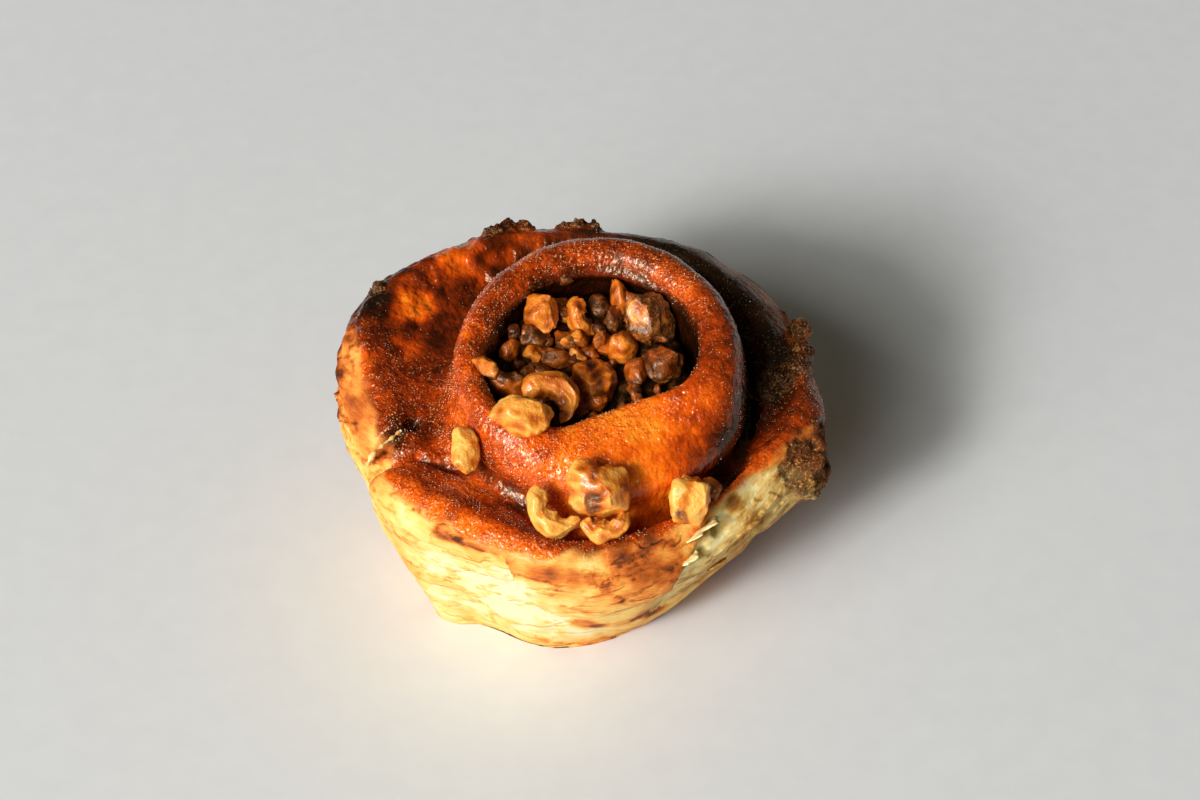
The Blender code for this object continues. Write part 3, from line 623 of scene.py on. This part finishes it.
torn, bubbleShade, sparkle, oliveShade = crust.mask("open")
mottle = crust.noise(2.4, 4.0, 0.6)
speck = crust.noise(0.55, 2.0, 0.7)
blotch = crust.noise(7, 3.0, 0.55)
flaking = crust.noise(2.2, 4.0, 0.6, crust.stretched((1, 1, 5)))
fibres = crust.noise(4.5, 3.0, 0.55, crust.stretched((1, 1, 4), (0, 0.33, 0)))
glazeTone = tone + (mottle - 0.5) * 0.32 + (speck - 0.5) * (0.16 + sparkle * 0.6) + (blotch - 0.5) * 0.3
# Where the olive mask lies, the glaze takes the olive colours of painted shade.
glazeColour = crust.mix(oliveShade * 0.75, crust.shades(glazeTone, baking["glaze"]),
                        crust.shades(glazeTone, baking["oliveShade"]))
# Thin skins of dough overlap, each with a browner edge, and baked bands run through the layers.
bands = crust.noise(9, 3.0, 0.6, crust.stretched((1, 1, 4)))
film = crust.noise(17, 3.0, 0.5, crust.stretched((1, 1, 1.8))).between(0.48, 0.56)
innerFilm = crust.noise(11, 3.0, 0.5, crust.stretched((1, 1, 2.4), (0, 0.2, 0.4))).between(0.54, 0.61)
edges = (film * (1 - film) + innerFilm * (1 - innerFilm)) * 4 * mottle.between(0.4, 0.6)
baked = doughTone + (mottle - 0.5) * 0.2 + (blotch - 0.5) * 0.4 + (film + innerFilm - 1) * 0.08 + edges * 0.2
baked = baked + ((flaking - 0.5) * 0.35 + (bands - 0.5) * 0.55) * (doughTone + 0.12)
tornColour = crust.shades(doughTone + (fibres - 0.5) * 0.8 + edges * 0.16, baking["torn"])
pale = crust.mix(torn, crust.shades(baked, baking["dough"]), tornColour)
# Inside the open bubbles the dough is darkened: painted shade.
pale = crust.mix(bubbleShade * 0.55, pale, colour(baking["bubble"]))
surface = crust.mix(glaze, pale, glazeColour)
surface = crust.mix(burnt * 0.95, surface, crust.shades(speck * 0.8 + mottle * 0.2, baking["burnt"]))
# Pale dots of sugar where the glaze sparkles. They are partly real sugar and partly painted glints.
clustered = crust.noise(3.5, 3.0).between(0.38, 0.58)
sugarAndGlints = crust.cells(0.75).between(0.3, 0.16) * sparkle * clustered
surface = crust.mix((sugarAndGlints * 0.8).clamp(), surface, colour(baking["sugar"]))
crinkle = crust.noise(1.3, 1.0, 0.5, crust.stretched((1, 1, 0.6), (0, 0, 0.8)))
beads = crust.cells(0.62).between(0.45, 0.0) * (sparkle + glaze * 0.2)
wrinkles = crust.rough(crinkle * glaze, 0.5)
wrinkles = crust.rough(beads, 0.13, wrinkles)
wrinkles = crust.rough((film + innerFilm) * (1 - glaze), 0.22, wrinkles)
wrinkles = crust.rough(crust.mix(torn, flaking, fibres) * (1 - glaze), 0.4, wrinkles)
wrinkles = crust.rough(speck * (burnt + 0.12), 0.35, wrinkles)
crustMaterial = crust.set(
    Base_Color=surface,
    Roughness=(0.66 - glaze * (0.48 - (blotch - 0.5) * 0.2) + burnt * 0.15 + (mottle - 0.5) * 0.2
               + (tone - 0.85).clamp() * 0.6 + oliveShade * 0.28).clamp(),
    Coat_Weight=(glaze * (0.12 - burnt * 0.12)).clamp(),
    Normal=wrinkles,
)

doughShapes = [shape(dough["angleStep"], dough["linePieces"]) for shape in (roll, wrap)]
bun = addObject("bun", doughShapes + [lump(*each) for each in dough["lumps"]], crustMaterial)
fuse = bun.modifiers.new("fuse", "REMESH")
fuse.mode, fuse.voxel_size = "VOXEL", dough["voxel"]
applyModifiers(bun)
smooth = bun.modifiers.new("smooth", "SMOOTH")
smooth.factor, smooth.iterations = 0.5, dough["smoothing"]
applyModifiers(bun)
shapeCrust(bun.data)

# Thin flakes that stand off the crust, as (angle, height, length, width, lift in degrees, tone, torn), and more
# that are scattered over its flaky sides as (from angle, to angle, low, high, count).
flakes = {
    "each": [
        (308, 38.4, 9.0, 5.6, 76, -0.1, 1), (302, 34.6, 4.8, 2.8, 66, 0.0, 1), (316, 24, 5.0, 2.4, 24, 0.35, 1),
    ],
    "scattered": [(30, 145, 14, 34, 12)],
    "spans": ((2.5, 7), (1.2, 2.4), (4, 14), (0.15, 0.55)),  # the scattered ones' length, width, lift and tone
    "thickness": 0.22, "seed": 5,
}


def flake(at, normal, length, width, lift, seed):
    # A thin ragged plate that lies along the layers with its upper edge standing off.
    rows, half = 18, 7
    side = Vector((0, 0, 1)).cross(normal).normalized()
    up = normal.cross(side)
    tilt = math.radians(lift)
    up, out = up * math.cos(tilt) + normal * math.sin(tilt), normal * math.cos(tilt) - up * math.sin(tilt)
    points = []
    for i in range(rows + 1):
        u = i / rows - 0.5
        reach = math.sqrt(max(0, 1 - (2 * u) ** 4)) * (0.8 + 0.5 * noise.noise(Vector((u * 4, seed, 0))))
        for j in range(2 * half):
            v = j / half - 0.5 if j <= half else 1.5 - j / half
            edge = min(1, 3 * (0.5 - abs(v)))
            thick = flakes["thickness"] * edge * (0.5 if j <= half else -0.5)
            rise = 0.3 * width * v * v + 0.35 * noise.noise(Vector((u * 3, v * 2, seed)))
            points.append(at + side * (u * length) + up * ((v + 0.3) * width * reach) + out * (rise + thick))
    return tube(points, 2 * half)


def looseFlakes():
    draw = random.Random(flakes["seed"])
    point, normal = readMesh(bun.data)
    angle = np.degrees(np.arctan2(point[:, 1], point[:, 0])) % 360
    glazed = readLayer(bun.data, "bake", "color", 4)[:, 0]
    outer = (np.hypot(point[:, 0], point[:, 1]) > 30) & (normal[:, 2] < 0.6) & (glazed < 0.5)
    wanted = list(flakes["each"])
    for low, high, bottom, top, count in flakes["scattered"]:
        spans = ((low, high), (bottom, top), *flakes["spans"])
        wanted += [(*[draw.uniform(*span) for span in spans], 0) for k in range(count)]
    shapes, looks = [], []
    for index, (turn, height, length, width, lift, *look) in enumerate(wanted):
        apart = np.abs((angle - turn + 180) % 360 - 180) * 0.7 + np.abs(point[:, 2] - height) + 100 * ~outer
        nearest = int(np.argmin(apart))
        shapes.append(flake(Vector(point[nearest]), Vector(normal[nearest]), length, width, lift, index * 1.37))
        looks += [look] * len(shapes[-1].verts)
    made = addObject("flakes", shapes, crustMaterial)
    tones, tears = np.array(looks, float).T
    writeMask(made.data, "bake", 0, 0, tones, 0)
    writeMask(made.data, "open", tears, 0, 0, 0)
    return made


loose = looseFlakes()
intoFrame(loose, "baked_dough")

# A strand of caramel has set across the gap at the outer wrap's free end.
strand = {"line": [(195.5, 44.6, 37.6), (194.4, 43.4, 39.2), (192, 41, 39.8), (189.5, 38.4, 40.2), (188, 37, 40.6)],
          "thickness": 0.42, "sides": 10, "shades": {0.35: "d8862c", 0.6: "ffd890"}}


def caramelStrand():
    line = smoothLine([tuple(place(*spot)) for spot in strand["line"]], 8)
    points = []
    for i, spot in enumerate(line):
        ahead = Vector(line[min(i + 1, len(line) - 1)]) - Vector(line[max(i - 1, 0)])
        side = ahead.cross(Vector((0, 0, 1))).normalized()
        up = side.cross(ahead).normalized()
        thick = strand["thickness"] * (1 + 1.1 * noise.noise(Vector(spot) / 0.9))
        for j in range(strand["sides"]):
            turn = math.tau * j / strand["sides"]
            points.append(Vector(spot) + (side * math.cos(turn) + up * math.sin(turn)) * thick)
    return tube(points, strand["sides"])


caramel = Finish("caramel strand", Roughness=0.16, Coat_Weight=0.6, Subsurface_Weight=0.3, Subsurface_Scale=0.001)
strandMesh = addObject("caramel_strand", [caramelStrand()], caramel.set(
    Base_Color=caramel.shades(caramel.noise(3), strand["shades"])))
intoFrame(strandMesh, "baked_dough")

intoFrame(bun, "baked_dough", "dough")
print("bun", len(bun.data.polygons))

# The walnuts as (kind, middle, size, turn, seed, how much brown skin it keeps, how dark its flesh is).
walnuts = {
    "loose": [
        ("peg", (-19.0, -2.4, 56.1), (6.4, 3.2, 3.0), (35, 0, -38), 31, 0.4, 0.38),
        ("chunk", (-11.8, -16.3, 55.8), (11.2, 7.4, 5.6), (32, 0, -14), 32, 0.05, 0.22),
        ("hook", (-5.4, -6.9, 52.0), (14.8, 4.8, 5.0), (-39, -24, 154), 33, 0.2, 0.35),
        ("peg", (-22.9, -17.4, 47.2), (5.2, 9.0, 4.8), (42, 0, -2), 34, 0.05, 0.12),
        ("curl", (-5.6, -30.0, 43.5), (13.4, 4.4, 4.6), (37, 27, -31), 35, 0.15, 0.1),
        ("curl", (4.9, -31.8, 42.5), (10.6, 3.6, 4.2), (45, -4, 4), 36, 0.3, 0.26),
        ("lobe", (3.0, -28.2, 47.9), (12.0, 10.4, 6.6), (48, 0, -14), 37, 0.25, 0.36),
        ("lobe", (21.0, -26.6, 43.4), (7.4, 9.2, 5.4), (42, 0, -22), 38, 0.05, 0.16),
        ("chunk", (25.5, -22.2, 41.9), (3.6, 4.2, 3.2), (40, 0, 0), 39, 0.3, 0.5),
    ],
    "heap": [
        ("chunk", (-8.3, 13.3, 55.2), (6.8, 8.4, 4.4), (52, 0, 4), 1, 0.05, 0.42),
        ("chunk", (-4.0, 18.6, 52.4), (3.4, 4.4, 3.5), (40, 0, -10), 2, 0.2, 0.44),
        ("curl", (0.4, 14.6, 53.2), (9.4, 3.4, 3.8), (27, 38, -51), 3, 0.2, 0.4),
        ("chunk", (3.6, 18.2, 52.6), (5.2, 5.0, 3.5), (30, 20, 0), 4, 0.9, 0.84),
        ("peg", (6.4, 14.6, 52.4), (3.4, 5.6, 3.6), (40, 0, -20), 5, 0.8, 0.74),
        ("peg", (7.6, 18.9, 55.7), (4.0, 5.8, 4.0), (45, 0, 14), 6, 0.05, 0.5),
        ("chunk", (10.0, 17.1, 54.2), (4, 5.8, 4), (45, 0, 0), 7, 0.5, 0.64),
        ("peg", (7.5, 16.3, 53.0), (2.4, 3.8, 2.6), (50, 0, 10), 8, 0.1, 0.6),
        ("lobe", (13.6, 12.5, 55.0), (9.2, 10.0, 6.2), (45, 0, 20), 9, 1.0, 0.5),
        ("chunk", (8.4, 7.8, 51.5), (5.6, 6.4, 5), (45, 0, 5), 10, 0, 0.38),
        ("chunk", (4.4, 10.2, 49.9), (4.8, 5.4, 4), (35, 0, 30), 11, 0.15, 0.56),
        ("chunk", (1.2, 8.1, 49.3), (4.2, 3.8, 4), (25, 0, 0), 12, 0.25, 0.64),
        ("chunk", (-10.3, 11.0, 51.6), (7.6, 5.6, 5), (35, 10, -30), 13, 0.85, 0.82),
        ("peg", (-14.9, 7.8, 50.4), (3.6, 4.8, 3.6), (40, 0, -20), 14, 0.1, 0.56),
        ("peg", (-5.1, 6.0, 50.0), (7.0, 4.2, 4.2), (30, 0, -8), 15, 0.5, 0.54),
        ("curl", (-14.2, 0.4, 50.6), (10.4, 4.2, 4.4), (40, 10, 12), 16, 0.6, 0.56),
        ("lobe", (2.6, 0.4, 49.2), (8.8, 8.4, 6), (35, 0, 20), 17, 0.2, 0.6),
        ("chunk", (2.6, -3.6, 47.6), (4.6, 3, 3.4), (20, 0, 0), 18, 0.1, 0.6),
        ("chunk", (16.2, 4.0, 51.0), (7.6, 7.4, 6), (50, 0, 12), 19, 0.6, 0.72),
        ("chunk", (10.8, 2.9, 49.3), (4.4, 5.4, 4), (40, 0, -10), 20, 0.35, 0.6),
        ("chunk", (12.8, 12.5, 50.2), (5, 4.4, 4), (20, 0, 0), 21, 0.5, 0.74),
        ("chunk", (-1.5, 11.5, 50.0), (6, 4.4, 4), (20, 0, 0), 22, 0.6, 0.74),
        ("chunk", (-8.5, 3.2, 49.0), (5.4, 4, 4), (20, 0, 0), 23, 0.6, 0.74),
    ],
    "square": {"chunk": 0.6, "lobe": 0.82, "peg": 0.62, "curl": 0.8, "hook": 0.8},
    "bent": {"curl": 1.5, "hook": 1.8},
    "chops": {"chunk": 4, "lobe": 1, "peg": 2, "curl": 1, "hook": 0},
    "fold": {"chunk": 0.3, "lobe": 0.55, "peg": 0.22, "curl": 0.5, "hook": 0.6},
    "smallChops": 6, "swell": 0.24, "valleyDepth": 0.07, "foldSize": 2.6,
    "flesh": {0: "fcc264", 0.2: "ee9a3a", 0.4: "cc6a16", 0.6: "904008", 0.8: "521f04", 1: "220c02"},
    "skin": {0.3: "241004", 0.45: "5a2c0c", 0.56: "8c4e1a", 0.7: "c88a58"},
    "heapTop": 48.4, "heapSlope": 0.34,
    # Bits between the nuts as (count, smallest, largest, how far they lie from the hollow's middle).
    "bits": (50, 1.8, 4.2, 16.5), "bitSeed": 3,
    # A scrap that sticks to the hollow's back wall.
    "scrap": ("chunk", (-3.4, 21.3, 57.3), (3.2, 1.8, 3.0), (20, 0, 10), 77, 0.6, 0.9),
}


def nut(kind, middle, size, turn, seed, skin, dark):
    # One piece of chopped walnut, with its skin and how dark its flesh is written on its vertices.
    shape = bmesh.new()
    bmesh.ops.create_icosphere(shape, subdivisions=5 if max(size) > 7 else 4 if max(size) > 3.7 else 3, radius=1)
    square, half = walnuts["square"][kind], Vector(size) / 2
    draw = random.Random(seed)
    chops = [(Vector([draw.uniform(-1, 1) for k in range(3)]).normalized(), draw.uniform(low, high))
             for count, low, high in ((walnuts["chops"][kind], 0.68, 0.88), (walnuts["smallChops"], 0.82, 1.0))
             for chop in range(count)]
    layer = shape.verts.layers.float_vector.new("nut")
    shift = Vector((seed * 3.1, seed * 1.7, seed * 2.3))
    for vert in shape.verts:
        start = vert.co.copy()
        p = Vector([math.copysign(abs(c) ** square, c) for c in start])
        swell = walnuts["swell"] * noise.noise(start * 0.9 + Vector((seed, 0, 0)))
        p *= 1 + swell + 0.1 * noise.noise(start * 2.3 + Vector((0, seed, 0)))
        valley = 0.0
        if kind == "lobe":
            valley = math.cos(5.2 * p.x + 1.5 * noise.noise(p + Vector((seed, seed, 0))))
            p *= 1 - walnuts["valleyDepth"] * valley
        cut = 0.0
        for face, reach in chops:
            over = p.dot(face) - reach
            if over > 0:
                p -= face * over * 0.9
                cut = max(cut, min(1, over * 14))
        if kind in walnuts["bent"]:
            thick = 1 + 0.5 * noise.noise(Vector((2.2 * p.x, seed, 0)))
            p.y, p.z = p.y * thick, p.z * thick
        p = Vector([c * h for c, h in zip(p, half)])
        fold = 1 - 2.4 * abs(noise.noise(p / walnuts["foldSize"] + shift))
        move = walnuts["fold"][kind] * min(fold, 0.75) * (1 - 0.7 * cut)
        move += 0.2 * (0.3 - abs(noise.noise(p / 1.2 + shift))) + 0.06 * noise.noise(p / 0.4 + shift)
        p += start * move
        cover = skin * 1.5 - 0.75 + 0.7 * noise.noise(p / 3.2 - shift)
        cover = cover + 0.25 * noise.noise(p / 1.1 - shift) - 0.4 * cut
        bent = walnuts["bent"].get(kind)
        cover += (0.7 if bent else -0.5) * start.y + 0.3 * valley
        shade = dark + 0.25 * (0.4 - fold) + 0.2 * valley
        vert[layer] = (min(1, max(0, 0.5 + 2.2 * cover)), min(1, max(0, shade)), 0)
        if bent:
            reach, bend = bent * p.x / half.x, half.x / bent
            p = Vector(((bend - p.y) * math.sin(reach), bend - (bend - p.y) * math.cos(reach) - 0.5 * bend, p.z))
        vert.co = p
    spin = Euler([math.radians(c) for c in turn]).to_matrix().to_4x4()
    bmesh.ops.transform(shape, matrix=Matrix.Translation(middle) @ spin, verts=shape.verts)
    return shape


def heapLevel(spot):
    # How high the heap reaches at a place in the hollow. It rises towards the back.
    slope = walnuts["heapSlope"] * (spot.y - 5)
    return walnuts["heapTop"] + slope + 0.15 * max(0, -spot.x - 5) + noise.noise(spot / 4)


def heapBits():
    draw = random.Random(walnuts["bitSeed"])
    count, smallest, largest, reach = walnuts["bits"]
    bits = [nut(*walnuts["scrap"])]
    for k in range(count):
        spot = place(draw.uniform(0, 360), reach * math.sqrt(draw.random()), 0) + Vector((0, 2, 0))
        size = draw.uniform(smallest, largest)
        spot.z = heapLevel(Vector((spot.x, spot.y, 0))) + 0.3 * size
        turn = [draw.uniform(0, 360) for i in range(3)]
        bits.append(nut("chunk", spot, (size, size * 0.8, size * 0.7), turn, 100 + k, draw.uniform(0.1, 0.8),
                        draw.uniform(0.3, 0.95)))
    return bits


# The heap's fill under the nuts, down to the hollow's floor. Its near-black colours paint the shade between the
# nuts.
shadeFillForm = {"rays": 120, "rings": 24, "floor": 41, "inset": 5,
              "shades": {0.35: "0c0501", 0.5: "200f03", 0.62: "46260a", 0.75: "6b4514"}}


def heapCore():
    lines = []
    floor, rings = shadeFillForm["floor"], shadeFillForm["rings"]
    for k in range(shadeFillForm["rays"]):
        angle = 360 * k / shadeFillForm["rays"]
        wide = doughAt(angle, "crestRadius")[0] - shadeFillForm["inset"]
        line = [(0, floor), (wide - 3.5, floor), (wide, floor + 3.5)]
        for step in range(rings + 1):
            part = 1 - step / rings
            spot = place(angle, wide * part, 0)
            top = heapLevel(spot) + 1.1 * noise.noise(spot / 1.7) + 0.5 * noise.noise(spot / 0.8)
            line.append((wide * part, top - 1.2 * max(0, part - 0.86) / 0.14))
        lines.append([place(angle, r, z) for r, z in line])
    return closedMesh([p for line in lines for p in line], gridFaces(len(lines), len(lines[0]), True, False))


nutFinish = Finish("glazed walnut", Subsurface_Weight=0.3, Subsurface_Radius=(1.0, 0.5, 0.2),
                   Subsurface_Scale=0.0018, Coat_Roughness=0.07, Coat_Tint=(1, 0.88, 0.66, 1),
                   Specular_IOR_Level=0.5, Specular_Tint=(1, 0.85, 0.65, 1))
skin, flesh = nutFinish.mask("nut")[:2]
nutMottle = nutFinish.noise(1.6, 4.0, 0.6)
nutSpeck = nutFinish.noise(0.4, 2.0, 0.6)
fleshColour = nutFinish.shades(flesh + (nutMottle - 0.5) * 0.35, walnuts["flesh"])
skinColour = nutFinish.shades(nutMottle * 0.7 + nutSpeck * 0.3 - flesh * 0.14 + 0.06, walnuts["skin"])
nutMaterial = nutFinish.set(
    Base_Color=nutFinish.mix(skin, fleshColour, skinColour),
    Roughness=(0.3 + skin * 0.1 + (nutMottle - 0.5) * 0.5).clamp(),
    Coat_Weight=(0.75 - (nutSpeck - 0.5) * 0.8 - flesh * 0.4).clamp(),
    Normal=nutFinish.rough(nutFinish.noise(0.45, 3.0, 0.6), 0.2, nutFinish.rough(nutMottle, 0.3)),
)


def finishNut(obj):
    # The layer that nut() writes becomes a colour that the material reads.
    values = readLayer(obj.data, "nut", "vector", 3)
    obj.data.attributes.remove(obj.data.attributes["nut"])
    writeMask(obj.data, "nut", *values.T)


for i, each in enumerate(walnuts["loose"]):
    piece = addObject(f"nut_{i + 1}", [nut(*each)], nutMaterial)
    finishNut(piece)
    intoFrame(piece, "glazed_walnut", f"walnut_{i + 1}")
heaped = addObject("nut_heap", [nut(*each) for each in walnuts["heap"]] + heapBits(), nutMaterial)
finishNut(heaped)
intoFrame(heaped, "glazed_walnut", "walnut_heap")

# The fill is near black: painted shade between the nuts.
shadeFill = Finish("shaded heap fill", Specular_IOR_Level=0.15, Specular_Tint=(1, 0.7, 0.4, 1))
shadeFillMottle = shadeFill.noise(1.8, 3.0, 0.6)
shadeFillMaterial = shadeFill.set(
    Base_Color=shadeFill.shades(shadeFillMottle, shadeFillForm["shades"]),
    Roughness=(0.35 + shadeFillMottle * 0.3).clamp(),
    Normal=shadeFill.rough(shadeFill.noise(0.6, 3.0, 0.6), 0.2),
)
core = addObject("shadeFill", [heapCore()], shadeFillMaterial)
intoFrame(core, "glazed_walnut", "walnut_heap")
print("walnuts", len(heaped.data.polygons))

# Sugar grains on the glaze, thickest where light catches it.
sugar = {"count": 6000, "size": (0.08, 0.22), "seed": 11, "shades": {0.35: "e89a5c", 0.6: "ffe2c4"}}


def sugarGrains():
    # Small eight-sided grains. The bun is in the frame's metres by now, so they are made in metres too.
    draw = random.Random(sugar["seed"])
    weight = readLayer(bun.data, "open", "color", 4)[:, 2]
    point, normal = readMesh(bun.data)
    odds = weight * (0.08 + np.clip(1.6 * grain(point * 1000, 3.2, 1.7) + 0.2, 0, 1))
    chosen = draw.choices(range(len(odds)), weights=odds.tolist(), k=sugar["count"])
    shape = bmesh.new()
    for index in chosen:
        size = draw.uniform(*sugar["size"]) * 0.001
        at = Vector(point[index]) + Vector(normal[index]) * size * 0.15
        spin = Euler([draw.uniform(0, 6.3) for k in range(3)]).to_matrix()
        corners = [at + spin @ Vector(c) * size for c in
                   ((0.5, 0, 0), (-0.5, 0, 0), (0, 0.5, 0), (0, -0.5, 0), (0, 0, 0.6), (0, 0, -0.6))]
        verts = [shape.verts.new(c) for c in corners]
        for a, b, c in ((0, 2, 4), (2, 1, 4), (1, 3, 4), (3, 0, 4), (2, 0, 5), (1, 2, 5), (3, 1, 5), (0, 3, 5)):
            shape.faces.new((verts[a], verts[b], verts[c]))
    return shape


sugarFinish = Finish("sugar", Roughness=0.12, Specular_IOR_Level=0.8, Subsurface_Weight=0.3,
                     Subsurface_Scale=0.0003)
grains = addObject("sugar_grains", [sugarGrains()], sugarFinish.set(
    Base_Color=sugarFinish.shades(sugarFinish.noise(1.5), sugar["shades"])))
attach(grains, "root")
print("sugar", len(grains.data.polygons))

# The table, the window light from the left front, and the camera.
table = {"size": 3.0, "colour": "e0e1e0", "shade": "d8d9d9"}
tableFinish = Finish("table", Specular_IOR_Level=0.2)
tableShape = bmesh.new()
bmesh.ops.create_grid(tableShape, x_segments=1, y_segments=1, size=table["size"])
tableTop = addObject("table", [tableShape], tableFinish.set(
    Base_Color=tableFinish.mix(tableFinish.noise(6, 4.0), colour(table["colour"]), colour(table["shade"])),
    Roughness=(0.55 + tableFinish.noise(0.8) * 0.2)))

# The window is one large soft area with a brighter part in its middle, which gives the glaze its glints.
light = {"place": (-2.27, -2.75, 2.18), "areas": {"window": (2.8, 150.0), "window_middle": (0.85, 138.0)},
         "aim": (0, 0, 0.03), "warmth": (1.0, 0.995, 0.985), "sky": 0.06, "skyColour": (0.97, 1.0, 0.8, 1)}
for name, (size, power) in light["areas"].items():
    lamp = bpy.data.lights.new(name, "AREA")
    lamp.size, lamp.energy, lamp.color = size, power, light["warmth"]
    window = bpy.data.objects.new(name, lamp)
    bpy.context.scene.collection.objects.link(window)
    window.location = light["place"]
    window.rotation_euler = (Vector(light["aim"]) - window.location).to_track_quat("-Z", "Y").to_euler()
world = bpy.data.worlds.new("room")
world.use_nodes = True
background = world.node_tree.nodes["Background"]
background.inputs["Color"].default_value = light["skyColour"]
background.inputs["Strength"].default_value = light["sky"]
bpy.context.scene.world = world
bpy.context.scene.view_settings.view_transform = "Standard"

# The camera looks down at this many degrees, from straight in front.
view = {"target": (0.00405, 0.00254, 0.0359), "distance": 0.55, "downAngle": 45.0, "lens": 80.0}
lens = bpy.data.cameras.new("camera")
lens.sensor_width, lens.lens = 36, view["lens"]
lens.clip_start, lens.clip_end = 0.02, 20
camera = bpy.data.objects.new("camera", lens)
bpy.context.scene.collection.objects.link(camera)
up = math.radians(view["downAngle"])
back = Vector((0, -math.cos(up), math.sin(up)))
camera.location = Vector(view["target"]) + back * view["distance"]
camera.rotation_euler = (-back).to_track_quat("-Z", "Y").to_euler()
bpy.context.scene.camera = camera
